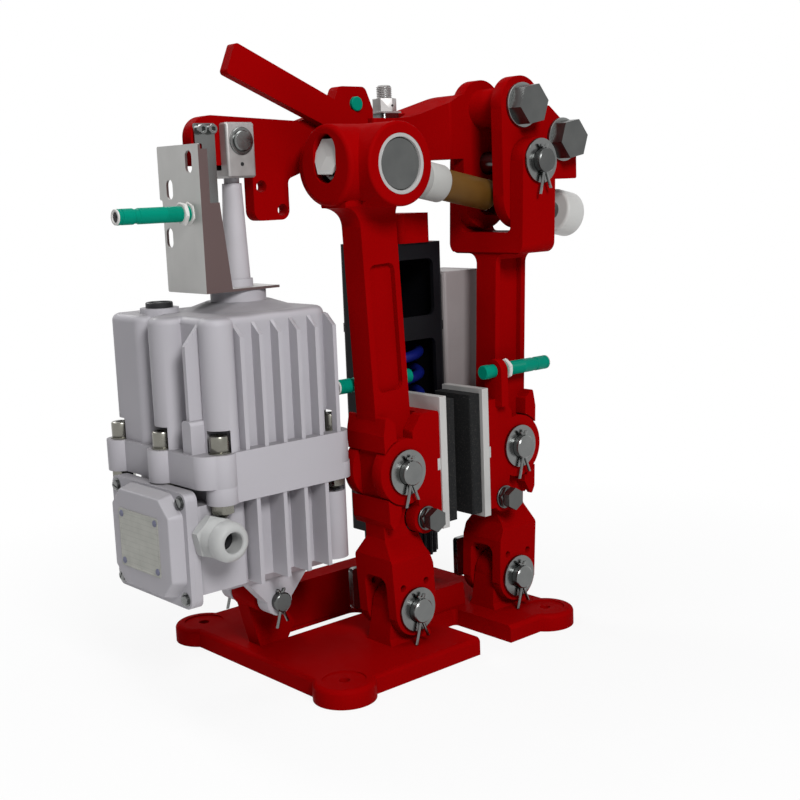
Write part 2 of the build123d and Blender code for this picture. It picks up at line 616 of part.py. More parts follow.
with BuildPart() as crank_nuts:
    for y, z in bolts:
        hex_x(lever_x - crank_half - 16, lever_x - crank_half, y, z, bolt_flats, 20)
        bar_x(lever_x - crank_half - 17, lever_x - crank_half + 1, y, z, bolt_r + pin_fit, Mode.SUBTRACT)
crank_nuts.part.label = "crank_nuts"
export_step(crank_nuts.part, "parts/crank_nuts.step")

with BuildPart() as crank_sensor:
    bar_x(-98, arm_x + arm_t / 2 + 3, -33, 455.8, sensor_r)
crank_sensor.part.label = "crank_sensor"
export_step(crank_sensor.part, "parts/crank_sensor.step")

# Hand lever: flat bar bolted to the front of the long plate
hand_t = 10.0
hand_x = arm_x + arm_t / 2
with BuildPart() as hand_lever:
    with BuildSketch(Plane.YZ.offset(hand_x)) as bar:
        with BuildLine():
            Polyline((-31.3, 444.5), (-23, 427), (-38, 422.5), (-166.8, 476.4), (-157, 499.5), close=True)
        make_face()
        fillet(bar.vertices(), 3)
    extrude(bar.sketch, amount=hand_t)
hand_lever.part.label = "hand_lever"
export_step(hand_lever.part, "parts/hand_lever.step")

# Brake spring in its square tube, with the rod that pulls the crank arm down
tube_half = 32.0
tube_wall = 4.0
tube_z0 = 84.0
tube_z1 = 339.0
seat_z = 262.0
seat_t = 8.0
rod_r = 6.0
rod_plate_z = 122.0
rod_plate_t = 7.0
window = (-17.0, 25.0, 110.0, 325.0)
tube_y = spring_y
with BuildPart() as spring_tube:
    with BuildSketch(Plane.XY.offset(tube_z0)) as section:
        with Locations((arm_x, tube_y)):
            RectangleRounded(2 * tube_half, 2 * tube_half, 5)
            RectangleRounded(2 * (tube_half - tube_wall), 2 * (tube_half - tube_wall), 2, mode=Mode.SUBTRACT)
    extrude(section.sketch, amount=tube_z1 - tube_z0)
    block(arm_x - tube_half + 1, arm_x + tube_half - 1, tube_y - tube_half + 1, tube_y + tube_half - 1,
          seat_z, seat_z + seat_t)
    plate_x(arm_x + 10, arm_x + tube_half + 2,
            [(window[0], window[2]), (window[1], window[2]), (window[1], seat_z - 6), (window[0], seat_z - 6)], 6,
            Mode.SUBTRACT)
    plate_x(arm_x + 10, arm_x + tube_half + 2,
            [(window[0], seat_z + seat_t + 6), (window[1], seat_z + seat_t + 6), (window[1], window[3]),
             (window[0], window[3])], 6, Mode.SUBTRACT)
    bar_z(arm_x, tube_y, seat_z - 1, seat_z + seat_t + 1, rod_r + 1, Mode.SUBTRACT)
spring_tube.part.label = "spring_tube"
export_step(spring_tube.part, "parts/spring_tube.step")

head_gap = 25.0
with BuildPart() as spring_head:
    block(arm_x - 29, arm_x + 35, tube_y - 18.5, tube_y + 16.5, tube_z1, tube_z1 + head_gap, 5)
    block(arm_x - tube_half + tube_wall, arm_x + tube_half - tube_wall, tube_y - tube_half + tube_wall,
          tube_y + tube_half - tube_wall, tube_z1 - 14, tube_z1, 2)
    bar_z(arm_x, tube_y, tube_z1 - 20, tube_z1 + head_gap + 1, rod_r + pin_fit, Mode.SUBTRACT)
spring_head.part.label = "spring_head"
export_step(spring_head.part, "parts/spring_head.step")

cap_r = 33.0
with BuildPart() as spring_cap:
    # Ribbed cap that closes the tube, with the eye for the anchor pin
    with BuildSketch(Plane.XY.offset(62)) as grip:
        with Locations((arm_x, tube_y)):
            Circle(cap_r - 2)
            with PolarLocations(cap_r - 2, 24):
                Circle(2)
    extrude(grip.sketch, amount=tube_z0 - 62)
    block(arm_x - tube_half + tube_wall, arm_x + tube_half - tube_wall, tube_y - tube_half + tube_wall,
          tube_y + tube_half - tube_wall, tube_z0, tube_z0 + 8, 2)
    plate_x(arm_x - 10.5, arm_x + 10.5, [(tube_y - 15, 62), (tube_y + 15, 62), (tube_y + 11, anchor_z),
                                         (tube_y - 11, anchor_z)])
    bar_x(arm_x - 10.5, arm_x + 10.5, tube_y, anchor_z, 11)
    bar_x(arm_x - 12, arm_x + 12, tube_y, anchor_z, anchor_r + pin_fit, Mode.SUBTRACT)
spring_cap.part.label = "spring_cap"
export_step(spring_cap.part, "parts/spring_cap.step")

with BuildPart() as spring_anchor_pin:
    bar_x(arm_x - 23, arm_x + 23, spring_y, anchor_z, anchor_r)
    chamfer(spring_anchor_pin.edges(), 1)
spring_anchor_pin.part.label = "spring_anchor_pin"
export_step(spring_anchor_pin.part, "parts/spring_anchor_pin.step")

wire_r = 4.5
coil_r = 21.5
coil_pitch = 19.0
with BuildPart() as brake_spring:
    with BuildLine(Plane.XY.offset(rod_plate_z + wire_r)) as path:
        with Locations((0, 0)):
            coil = Helix(coil_pitch, seat_z - rod_plate_z - 2 * wire_r, coil_r, center=(arm_x, tube_y, 0))
    with BuildSketch(Plane(origin=coil @ 0, z_dir=coil % 0)) as wire:
        Circle(wire_r)
    sweep(wire.sketch, path=coil, is_frenet=True)
brake_spring.part.label = "brake_spring"
export_step(brake_spring.part, "parts/brake_spring.step")

with BuildPart() as spring_rod:
    bar_z(arm_x, tube_y, rod_plate_z - rod_plate_t - 3, spring_top + 40, rod_r)
    bar_z(arm_x, tube_y, rod_plate_z - rod_plate_t, rod_plate_z, 26)
    chamfer(spring_rod.faces().sort_by(Axis.Z)[-1].edges(), 1)
spring_rod.part.label = "spring_rod"
export_step(spring_rod.part, "parts/spring_rod.step")

rod_block_top = spring_top + 16.5
with BuildPart() as rod_trunnion:
    block(arm_x - pocket_half + gap, arm_x + pocket_half - gap, tube_y - 9, tube_y + 9, spring_top - 9,
          rod_block_top, 2)
    bar_x(arm_x - arm_half, arm_x + arm_half, tube_y, spring_top, spring_trunnion_r)
    bar_z(arm_x, tube_y, spring_top - 20, spring_top + 20, rod_r + pin_fit, Mode.SUBTRACT)
rod_trunnion.part.label = "rod_trunnion"
export_step(rod_trunnion.part, "parts/rod_trunnion.step")

with BuildPart() as rod_nut:
    block(arm_x - 10, arm_x + 10, tube_y - 10, tube_y + 10, rod_block_top, rod_block_top + 1.5)
    hex_z(arm_x, tube_y, rod_block_top + 1.5, rod_block_top + 12.5, 18)
    bar_z(arm_x, tube_y, rod_block_top - 1, rod_block_top + 20, rod_r + pin_fit, Mode.SUBTRACT)
rod_nut.part.label = "rod_nut"
export_step(rod_nut.part, "parts/rod_nut.step")

with BuildPart() as junction_box:
    block(arm_x - 13, arm_x + 33, tube_y + tube_half, tube_y + tube_half + 51, 190, 312)
    fillet(junction_box.faces().sort_by(Axis.Y)[-1].edges(), 9)
    fillet(junction_box.faces().sort_by(Axis.Y)[0].edges(), 3)
junction_box.part.label = "junction_box"
export_step(junction_box.part, "parts/junction_box.step")

# Thruster: motor housing below, hydraulic cylinder above, its rod joined to the long plate
flange_x = (-99.0, 27.0)
flange_y = (-240.0, -97.0)
flange_z0 = 172.0
flange_t = 25.0
lower_flange_t = 13.0
flange_mid = (flange_x[0] + flange_x[1]) / 2
fin_x = 62.0            # outer edges of the fins, from the middle of the flange
fin_t = 3.5
motor_half = 43.0       # walls between the fins, from the middle of the flange
motor_z0 = 84.0
fin_z0 = 91.0
motor_fins = (-194.2, -169.1, -149.0, -128.3)
wall_half = 52.0
cylinder_y = (-223.0, -106.0)
shoulder_z = 297.0
collar_z = 312.0
collar_r = 22.0
lip_z = 320.0
sleeve_r = 10.5
sleeve_tip_r = 7.6
sleeve_z = (322.0, 394.0)
rod_tip_r = 6.0
piston_r = 42.0
ear_t = 14.0
ear_gap = 19.0
ear_end = 12.0
foot_pin_r = 8.0
box_side = 17.0
box_back = -241.0
box_z = (82.0, 171.0)
seam_y = -247.0
cover_t = 4.0
panel_y = -262.0
gland_y = -231.5
gland_z = 136.0
screw_r = 4.0
screw_lug_r = 12.0
screw_head_z = 15.0
flange_screws = [(-97.0, -236.0), (-33.0, -237.0), (19.0, -220.0), (12.0, -109.0), (-86.0, -109.0)]

with BuildPart() as motor_housing:
    block(flange_mid - motor_half, flange_mid + motor_half, -216, -100, motor_z0, flange_z0, 10)
    chamfer(motor_housing.faces().sort_by(Axis.Z)[0].edges(), fin_z0 - motor_z0)
    # Deep cooling fins on the front and back, and short ones on the right side
    for y in motor_fins:
        block(flange_mid - fin_x, flange_mid + fin_x, y, y + fin_t, fin_z0, flange_z0 - 4)
    for i in range(4):
        x = flange_mid - 34 + i * 21
        block(x, x + fin_t, -104, -92, fin_z0, flange_z0 - 4)
    # Lower flange with the lugs of its three screws and a rounded pillar under the front one
    block(flange_x[0], flange_x[1], -225, flange_y[1], flange_z0 - lower_flange_t, flange_z0, 12)
    for x, y in flange_screws[2:]:
        bar_z(x, y, flange_z0 - lower_flange_t, flange_z0, screw_lug_r)
    for x in (flange_x[1] - 20, flange_x[0] + 20):
        bar_z(x, -108, fin_z0, flange_z0 - 4, 12)
    # Wall that carries the terminal box, with the boss of the cable gland
    block(-84, box_side - 3, box_back, -196, fin_z0, flange_z0 - lower_flange_t, 4)
    bar_x(box_side - 6, box_side, gland_y, gland_z, 9.4)
    for x, y in flange_screws[2:]:
        bar_z(x, y, flange_z0 - lower_flange_t - 12, flange_z0 - lower_flange_t, 9, Mode.SUBTRACT)
        bar_z(x, y, 140, flange_z0 + 1, screw_r, Mode.SUBTRACT)
    # Two ears that stand on the foot pin
    for x in (arm_x - ear_gap - ear_t, arm_x + ear_gap):
        plate_x(x, x + ear_t, [(thr_y - 34, motor_z0 + 4), (thr_y + 34, motor_z0 + 4), (thr_y + ear_end - 1, thr_bot_z),
                               (thr_y - ear_end + 1, thr_bot_z)])
        bar_x(x, x + ear_t, thr_y, thr_bot_z, ear_end)
        bar_x(x - 1, x + ear_t + 1, thr_y, thr_bot_z, foot_pin_r + pin_fit, Mode.SUBTRACT)
motor_housing.part.label = "motor_housing"
export_step(motor_housing.part, "parts/motor_housing.step")

with BuildPart() as thruster_cylinder:
    # The wall, the oil chamber's bulge and the two pillars over the outer screws, under one rounded shoulder
    with BuildSketch(Plane.XY.offset(flange_z0 + flange_t - 1)) as wall:
        with Locations((flange_mid, (cylinder_y[0] + cylinder_y[1]) / 2)):
            RectangleRounded(2 * wall_half, cylinder_y[1] - cylinder_y[0], 16)
        with Locations((-79, -210)):
            RectangleRounded(48, 54, 9)
        with Locations((-33, -226)):
            Circle(14.5)
        with Locations((12.5, -213)):
            Circle(13)
    extrude(wall.sketch, amount=shoulder_z - flange_z0 - flange_t + 1)
    fillet(thruster_cylinder.faces().sort_by(Axis.Z)[-1].edges(), 6)
    with BuildSketch(Plane.XY.offset(shoulder_z - 0.5)) as slope:
        with Locations((arm_x, thr_y)):
            Circle(45)
    with BuildSketch(Plane.XY.offset(shoulder_z + 6)) as crown:
        with Locations((arm_x, thr_y)):
            Circle(collar_r + 4)
    loft([slope.sketch, crown.sketch])
    bar_z(arm_x, thr_y, shoulder_z, collar_z, collar_r)
    bar_z(arm_x, thr_y, collar_z, lip_z, sleeve_r + 1.8)
    # Fins with sloping tops on the front and back, and on the right side
    for i in range(6):
        y = -201.0 + i * 17.5
        for side in (-1, 1):
            plate_y(y, y + fin_t, [(flange_mid + side * (wall_half - 4), flange_z0 + flange_t - 1),
                                   (flange_mid + side * fin_x, flange_z0 + flange_t - 1),
                                   (flange_mid + side * fin_x, shoulder_z - 15),
                                   (flange_mid + side * wall_half, shoulder_z - 6),
                                   (flange_mid + side * (wall_half - 4), shoulder_z - 6)])
    for i in range(6):
        x = flange_mid - 46 + i * 17.7
        plate_x(x, x + fin_t, [(cylinder_y[1] - 4, flange_z0 + flange_t - 1), (cylinder_y[1] + 5, flange_z0 + flange_t - 1),
                               (cylinder_y[1] + 5, shoulder_z - 15), (cylinder_y[1] - 1, shoulder_z - 6),
                               (cylinder_y[1] - 4, shoulder_z - 6)])
    # One fin on the left side, with the eye that stands at its foot
    plate_x(2, 6, [(cylinder_y[0] + 4, 200), (cylinder_y[0] - 13, 200), (cylinder_y[0] - 13, shoulder_z - 20),
                   (cylinder_y[0], shoulder_z - 5), (cylinder_y[0] + 4, shoulder_z - 5)])
    plate_y(-237.5, cylinder_y[0] + 2, [(-3, 190), (9, 190), (9, 222), (-3, 222)], 4)
    # Flange with its screw lugs, and room for each screw head
    block(flange_x[0], flange_x[1], flange_y[0], flange_y[1], flange_z0, flange_z0 + flange_t, 14)
    for x, y in flange_screws:
        bar_z(x, y, flange_z0, flange_z0 + flange_t, screw_lug_r)
    for x, y in flange_screws:
        bar_z(x, y, flange_z0 + flange_t, flange_z0 + flange_t + screw_head_z + 2, 9, Mode.SUBTRACT)
        bar_z(x, y, flange_z0 - 1, flange_z0 + flange_t + 1, screw_r, Mode.SUBTRACT)
    # Filler boss
    bar_z(-64, -213, shoulder_z - 6, shoulder_z + 4, 15)
    # Room for the piston, and the bore of the rod
    bar_z(arm_x, thr_y, flange_z0 + flange_t + 12, shoulder_z - 14, piston_r + pin_fit, Mode.SUBTRACT)
    bar_z(arm_x, thr_y, shoulder_z - 16, lip_z + 1, sleeve_r + pin_fit, Mode.SUBTRACT)
thruster_cylinder.part.label = "thruster_cylinder"
export_step(thruster_cylinder.part, "parts/thruster_cylinder.step")

with BuildPart() as thruster_foot_pin:
    bar_x(arm_x - 39, arm_x + 39, thr_y, thr_bot_z, foot_pin_r)
    chamfer(thruster_foot_pin.edges(), 1)
    for x in (arm_x - 35.5, arm_x + 35.5):
        bar_z(x, thr_y, thr_bot_z - 10, thr_bot_z + 10, split_r, Mode.SUBTRACT)
thruster_foot_pin.part.label = "thruster_foot_pin"
export_step(thruster_foot_pin.part, "parts/thruster_foot_pin.step")

cover_points = [(-90, box_z[0]), (box_side, box_z[0]), (box_side, box_z[1]), (-90, box_z[1])]
with BuildPart() as terminal_box:
    plate_y(seam_y, box_back, cover_points, 7)
terminal_box.part.label = "terminal_box"
export_step(terminal_box.part, "parts/terminal_box.step")

panel = [(-73, 104), (-60, 91), (-4, 91), (9, 104), (9, 153), (-4, 166), (-60, 166), (-73, 153)]
cover_screws = [(x, z) for x in (-82.5, 9.5) for z in (box_z[0] + 7.5, box_z[1] - 7.5)]
with BuildPart() as terminal_cover:
    plate_y(seam_y - cover_t, seam_y, cover_points, 7)
    # Raised panel with cut corners that leave room for the screws
    with BuildSketch(Plane.XZ.offset(-panel_y)) as front:
        with BuildLine():
            Polyline(*panel, close=True)
        make_face()
        fillet(front.vertices(), 3)
    extrude(front.sketch, amount=panel_y - seam_y + 1, taper=-16)
    fillet(terminal_cover.faces().sort_by(Axis.Y)[0].edges(), 1.5)
terminal_cover.part.label = "terminal_cover"
export_step(terminal_cover.part, "parts/terminal_cover.step")

with BuildPart() as cable_gland:
    hex_x(box_side, box_side + 12, gland_y, gland_z, 30, 30)
    bar_x(box_side + 12, box_side + 32, gland_y, gland_z, 15.5)
    fillet(cable_gland.faces().sort_by(Axis.X)[-1].edges(), 4)
    bar_x(box_side + 11, box_side + 40, gland_y, gland_z, 8, Mode.SUBTRACT)
cable_gland.part.label = "cable_gland"
export_step(cable_gland.part, "parts/cable_gland.step")

# Folded steel bracket that holds the stroke sensor beside the rod
sheet_t = 2.0
bracket_y = -201.0
bracket_x = (-72.0, -14.0)
bracket_top = 424.0
bracket_step = 383.0
stroke_x = -32.0
stroke_z = 372.5
with BuildPart() as sensor_bracket:
    # Foot on the collar, upright plate in two widths, and its folded right edge
    block(bracket_x[0] + 14, bracket_x[1], bracket_y, thr_y + 24, collar_z, collar_z + sheet_t)
    bar_z(arm_x, thr_y, collar_z - 1, collar_z + 5, sleeve_r + 2.3, Mode.SUBTRACT)
    plate_y(bracket_y, bracket_y + sheet_t,
            [(bracket_x[0] + 3.5, collar_z), (bracket_x[1], collar_z), (bracket_x[1], bracket_top),
             (bracket_x[0], bracket_top), (bracket_x[0], bracket_step), (bracket_x[0] + 3.5, bracket_step)], 1.5)
    plate_x(bracket_x[1] - sheet_t, bracket_x[1],
            [(bracket_y, collar_z), (-177, collar_z), (-184.5, bracket_step - 3), (-193, bracket_step - 3),
             (-193, bracket_top - 4), (bracket_y, bracket_top - 4)])
    with BuildSketch(Plane.XZ.offset(-bracket_y - 10)) as holes:
        with Locations((-28, 411)):
            SlotOverall(17, 9, rotation=90)
        with Locations((-57, 391), (-61, 354)):
            SlotOverall(15.5, 9, rotation=90)
        with Locations((stroke_x, stroke_z)):
            Circle(sensor_r + pin_fit)
    extrude(holes.sketch, amount=20, mode=Mode.SUBTRACT)
sensor_bracket.part.label = "sensor_bracket"
export_step(sensor_bracket.part, "parts/sensor_bracket.step")

with BuildPart() as stroke_sensor:
    bar_y(-264, bracket_y + 5, stroke_x, stroke_z, sensor_r)
stroke_sensor.part.label = "stroke_sensor"
export_step(stroke_sensor.part, "parts/stroke_sensor.step")

piston_z = 266.0
piston_t = 14.0
clevis_z0 = thr_top_z - 27.8
clevis_z1 = thr_top_z + 14.2
with BuildPart() as thruster_rod:
    # Sleeve with a slightly tapered upper half, and the rod's end in the clevis
    bar_z(arm_x, thr_y, piston_z - 2, sleeve_z[0], sleeve_r)
    with BuildSketch(Plane.XY.offset(sleeve_z[0])) as wide:
        with Locations((arm_x, thr_y)):
            Circle(sleeve_r)
    with BuildSketch(Plane.XY.offset(sleeve_z[1])) as narrow:
        with Locations((arm_x, thr_y)):
            Circle(sleeve_tip_r)
    loft([wide.sketch, narrow.sketch])
    bar_z(arm_x, thr_y, sleeve_z[1] - 1, clevis_z0 + 6, rod_tip_r)
thruster_rod.part.label = "thruster_rod"
export_step(thruster_rod.part, "parts/thruster_rod.step")

with BuildPart() as piston:
    bar_z(arm_x, thr_y, piston_z, piston_z + piston_t, piston_r)
    bar_z(arm_x, thr_y, piston_z - 1, piston_z + piston_t + 1, sleeve_r + pin_fit, Mode.SUBTRACT)
piston.part.label = "piston"
export_step(piston.part, "parts/piston.step")

with BuildPart() as rod_clevis:
    block(arm_x - 16, arm_x + 16, thr_y - 13, thr_y + 13, clevis_z0, clevis_z1, 2)
    chamfer(rod_clevis.faces().filter_by(Axis.Z).edges(), 1.5)
    block(arm_x - arm_t / 2 - 0.6, arm_x + arm_t / 2 + 0.6, thr_y - 20, thr_y + 20, clevis_z0 + 6, clevis_z1 + 1, 0,
          Mode.SUBTRACT)
    bar_x(arm_x - 20, arm_x + 20, thr_y, thr_top_z, foot_pin_r + pin_fit, Mode.SUBTRACT)
    bar_z(arm_x, thr_y, clevis_z0 - 1, clevis_z0 + 7, rod_tip_r + pin_fit, Mode.SUBTRACT)
rod_clevis.part.label = "rod_clevis"
export_step(rod_clevis.part, "parts/rod_clevis.step")

with BuildPart() as clevis_pin:
    bar_x(arm_x - 20, arm_x + 20, thr_y, thr_top_z, foot_pin_r)
    chamfer(clevis_pin.edges(), 1)
clevis_pin.part.label = "clevis_pin"
export_step(clevis_pin.part, "parts/clevis_pin.step")
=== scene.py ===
import math

import bmesh
import bpy
from mathutils import Matrix, Vector


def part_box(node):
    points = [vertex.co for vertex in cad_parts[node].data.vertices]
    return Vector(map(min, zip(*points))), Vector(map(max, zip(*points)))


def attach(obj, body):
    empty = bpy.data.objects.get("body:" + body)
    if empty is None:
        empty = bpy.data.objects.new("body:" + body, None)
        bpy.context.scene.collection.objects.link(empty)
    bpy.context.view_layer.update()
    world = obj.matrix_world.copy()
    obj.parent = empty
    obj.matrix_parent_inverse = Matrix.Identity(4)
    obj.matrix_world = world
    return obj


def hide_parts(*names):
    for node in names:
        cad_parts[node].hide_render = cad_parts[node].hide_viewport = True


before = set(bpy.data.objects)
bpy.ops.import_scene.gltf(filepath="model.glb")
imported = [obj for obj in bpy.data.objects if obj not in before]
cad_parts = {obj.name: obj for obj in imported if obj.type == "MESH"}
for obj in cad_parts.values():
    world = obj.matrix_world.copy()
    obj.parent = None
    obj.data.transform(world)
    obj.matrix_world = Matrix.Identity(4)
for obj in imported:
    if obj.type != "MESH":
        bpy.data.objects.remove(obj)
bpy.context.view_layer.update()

mm = 0.001

# Camera at the photograph's angle, a little above the crank, rolled so that the levers' tops lean left.
# Its place, angles and lens were worked out from the foot holes and the pins that the photograph shows.
azimuth, elevation, roll = (math.radians(angle) for angle in (48.63, 9.58, 2.20))
camera_place = (0.79887, -0.7269, 0.38714)
right = Vector((math.cos(azimuth), math.sin(azimuth), 0))
back = Vector((math.sin(azimuth) * math.cos(elevation), -math.cos(azimuth) * math.cos(elevation),
               math.sin(elevation)))
up = back.cross(right)
image_x = right * math.cos(roll) - up * math.sin(roll)
image_y = right * math.sin(roll) + up * math.cos(roll)
camera_data = bpy.data.cameras.new("camera")
camera_data.lens = 57.03
camera_data.sensor_width = 36
camera_data.sensor_fit = "HORIZONTAL"
camera = bpy.data.objects.new("camera", camera_data)
camera.matrix_world = Matrix.Translation(camera_place) @ Matrix(
    (image_x, image_y, back)).transposed().to_4x4()
bpy.context.scene.collection.objects.link(camera)
bpy.context.scene.camera = camera
bpy.context.scene.view_settings.view_transform = "Standard"


# Studio: a round sheet of pale paper that keeps a faint shadow and fades to white away from the brake,
# a white surround, one main lamp to the right of the camera, one behind for the rims and one overhead.
class Shade:
    """A number or colour that changes over a surface. Expressions on shades add their Math nodes."""

    def __init__(self, finish, socket):
        self.finish, self.socket = finish, socket

    def math(self, operation, other=0.0):
        return self.finish.node("ShaderNodeMath", {"operation": operation}, {0: self, 1: other})

    def __add__(self, other):
        return self.math("ADD", other)

    def __sub__(self, other):
        return self.math("SUBTRACT", other)

    def __rsub__(self, other):
        return self.finish.node("ShaderNodeMath", {"operation": "SUBTRACT"}, {0: other, 1: self})

    def __mul__(self, other):
        return self.math("MULTIPLY", other)

    def __pow__(self, other):
        return self.math("POWER", other)

    def __lt__(self, other):
        return self.math("LESS_THAN", other)

    __radd__, __rmul__ = __add__, __mul__


class Finish:
    """A surface finish, built node by node in a material's or a world's own tree."""

    def __init__(self, name, holder=None):
        self.material = holder or bpy.data.materials.new(name)
        self.material.use_nodes = True
        self.tree = self.material.node_tree
        self.tree.nodes.clear()

    def node(self, kind, settings=None, sockets=None, output=0):
        """Adds a node, sets it up, then its sockets, and hands back one output."""
        made = self.tree.nodes.new(kind)
        for key, value in (settings or {}).items():
            setattr(made, key, value)
        for key, value in (sockets or {}).items():
            if isinstance(value, Shade):
                self.tree.links.new(value.socket, made.inputs[key])
            else:
                made.inputs[key].default_value = value
        return Shade(self, made.outputs[output])

    def axes(self, names):
        """The place on the piece along the named axes, one number for each."""
        where = self.node("ShaderNodeTexCoord", output="Object")
        return [self.node("ShaderNodeSeparateXYZ", {}, {0: where}, output=name) for name in names]

    def noise(self, scale, detail=3.0, stretch=(1, 1, 1)):
        where = self.node("ShaderNodeTexCoord", output="Object")
        if stretch != (1, 1, 1):
            where = self.node("ShaderNodeMapping", {}, {"Vector": where, "Scale": stretch})
        return self.node("ShaderNodeTexNoise", {}, {"Vector": where, "Scale": scale, "Detail": detail})

    def spread(self, value, low, high):
        """Stretches the part of a noise between low and high to the whole range from 0 to 1."""
        return self.node("ShaderNodeMapRange", {"clamp": True}, {0: value, 1: low, 2: high})

    def blend(self, amount, first, second):
        """Mixes two colours, which are inputs 6 and 7 of the node. Its output 2 is the mixed colour."""
        return self.node("ShaderNodeMix", {"data_type": "RGBA"}, {0: amount, 6: first, 7: second}, output=2)

    def bump(self, height, strength, distance):
        return self.node("ShaderNodeBump", {}, {"Height": height, "Strength": strength, "Distance": distance})

    def surface(self, **sockets):
        """Finishes a material with one painted, plastic or metal shader."""
        named = {socket.replace("_", " "): value for socket, value in sockets.items()}
        self.close("ShaderNodeOutputMaterial", self.node("ShaderNodeBsdfPrincipled", {}, named))
        return self.material

    def close(self, kind, shader):
        end = self.tree.nodes.new(kind)
        self.tree.links.new(shader.socket, end.inputs["Surface"])

    def seen(self):
        """1 where the camera looks straight at it, in a mirror or through glass."""
        straight, mirrored, through = [self.node("ShaderNodeLightPath", output=f"Is {kind} Ray")
                                       for kind in ("Camera", "Glossy", "Transmission")]
        return straight.math("MAXIMUM", mirrored).math("MAXIMUM", through)


def deselect():
    bpy.ops.object.select_all(action="DESELECT")


deselect()
bpy.ops.mesh.primitive_circle_add(vertices=96, radius=6.0, fill_type="NGON", location=(0, 0, -0.0005))
floor = bpy.context.object
floor.name = "floor"
brake_y = -0.04
white_beside = 0.87
paper = Finish("floor_paper")
east, north = paper.axes("XY")
behind = north - brake_y
from_brake = (east * east + behind * behind) ** 0.5
clear = paper.spread(from_brake, 0.22, 0.62)
white_share = paper.seen() * (clear * (1 - white_beside) + white_beside)
matt = paper.node("ShaderNodeBsdfDiffuse", {}, {"Color": (0.84, 0.84, 0.84, 1)})
glow = paper.node("ShaderNodeEmission", {}, {"Color": (1, 1, 1, 1), "Strength": 1.0})
paper.close("ShaderNodeOutputMaterial",
            paper.node("ShaderNodeMixShader", {}, {0: white_share, 1: matt, 2: glow}))
floor.data.materials.append(paper.material)

bpy.context.scene.world = bpy.data.worlds.new("surround")
sky = Finish("surround", bpy.context.scene.world)
soft = sky.node("ShaderNodeBackground", {}, {"Color": (0.93, 0.95, 1.0, 1), "Strength": 0.11})
white = sky.node("ShaderNodeBackground", {}, {"Color": (1, 1, 1, 1), "Strength": 1.0})
sky.close("ShaderNodeOutputWorld", sky.node("ShaderNodeMixShader", {}, {0: sky.seen(), 1: soft, 2: white}))

for name, place, aim, size, power in (
        ("main_lamp", (1.56, -0.62, 1.28), (0, -0.05, 0.25), 0.55, 27),
        ("rim_lamp", (-1.25, -0.25, 1.30), (0, -0.05, 0.30), 0.35, 9),
        ("top_lamp", (0.15, -0.25, 1.75), (0, -0.05, 0.25), 0.9, 9.5)):
    lamp_data = bpy.data.lights.new(name, "AREA")
    lamp_data.shape = "SQUARE"
    lamp_data.size = size
    lamp_data.energy = power
    lamp = bpy.data.objects.new(name, lamp_data)
    lamp.location = place
    lamp.rotation_euler = (Vector(place) - Vector(aim)).to_track_quat("Z", "Y").to_euler()
    bpy.context.scene.collection.objects.link(lamp)


# Base: one steel casting with four feet, the levers' forks and the thruster's lug, shot-blasted and sprayed
# with red enamel. The paint shows the sand of the mould, and the cast edges are rounded off under it.
def coat(nodes, material, round_edge=0.0, angle=40):
    """Gives CAD pieces their finish, and breaks their edges by a small radius."""
    for node in nodes:
        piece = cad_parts[node]
        piece.data.materials.clear()
        piece.data.materials.append(material)
        if round_edge:
            weld = piece.modifiers.new("weld", "WELD")
            weld.merge_threshold = 0.01 * mm
            soften = piece.modifiers.new("edge", "BEVEL")
            soften.width = round_edge * mm
            soften.segments = 2
            soften.limit_method = "ANGLE"
            soften.angle_limit = math.radians(angle)


enamel = Finish("red_enamel")
drift = enamel.noise(11, 4)
sand = enamel.noise(520, 4)
mould = enamel.noise(95, 3)
red_enamel = enamel.surface(
    Base_Color=enamel.blend(drift, (0.235, 0.0004, 0.0008, 1), (0.315, 0.0008, 0.0014, 1)),
    Roughness=enamel.spread(mould, 0.2, 0.8) * 0.16 + 0.36,
    Specular_IOR_Level=0.003,
    Normal=enamel.bump(sand * 0.6 + mould, 0.22, 0.0004))
coat(["base_frame"], red_enamel, 1.5)


# Anchor pin of the spring unit: turned steel, zinc plated. It lies across the two cheeks at the back of the
# base, through the eye of the spring unit's cap, and a split pin through its front end holds it.
def zinc_plate(name, centre=None, tone=1.0, dull=0.0):
    """Dull zinc over machined steel. With a centre, its faces show the fine rings of the lathe."""
    ring_waves = 9000.0     # radians for each metre: a ring every 0.7 mm
    dark, light = [tuple(part * tone for part in colour) + (1,)
                   for colour in ((0.135, 0.14, 0.14), (0.205, 0.21, 0.205))]
    zinc = Finish(name)
    bloom = zinc.noise(70, 4)
    fine = zinc.noise(900, 2)
    relief = fine * 0.4 + bloom * 0.3
    if centre:
        across, height = zinc.axes("YZ")
        radius = ((across - centre[0]) ** 2.0 + (height - centre[1]) ** 2.0) ** 0.5
        relief = relief + (radius * ring_waves).math("SINE") * 0.5
    return zinc.surface(
        Base_Color=zinc.blend(bloom, dark, light),
        Metallic=1.0,
        Roughness=zinc.spread(bloom, 0.25, 0.75) * 0.12 + (0.15 + dull),
        Normal=zinc.bump(relief, 0.10, 0.0001))


def pick(kind, test):
    """In edit mode, selects the faces, edges or corners that pass a test, and nothing else."""
    bpy.ops.mesh.select_mode(type=kind)
    bpy.ops.mesh.select_all(action="DESELECT")
    mesh = bmesh.from_edit_mesh(bpy.context.object.data)
    for item in {"VERT": mesh.verts, "EDGE": mesh.edges, "FACE": mesh.faces}[kind]:
        if test(item):
            item.select_set(True)
    mesh.select_flush_mode()
    bmesh.update_edit_mesh(bpy.context.object.data)


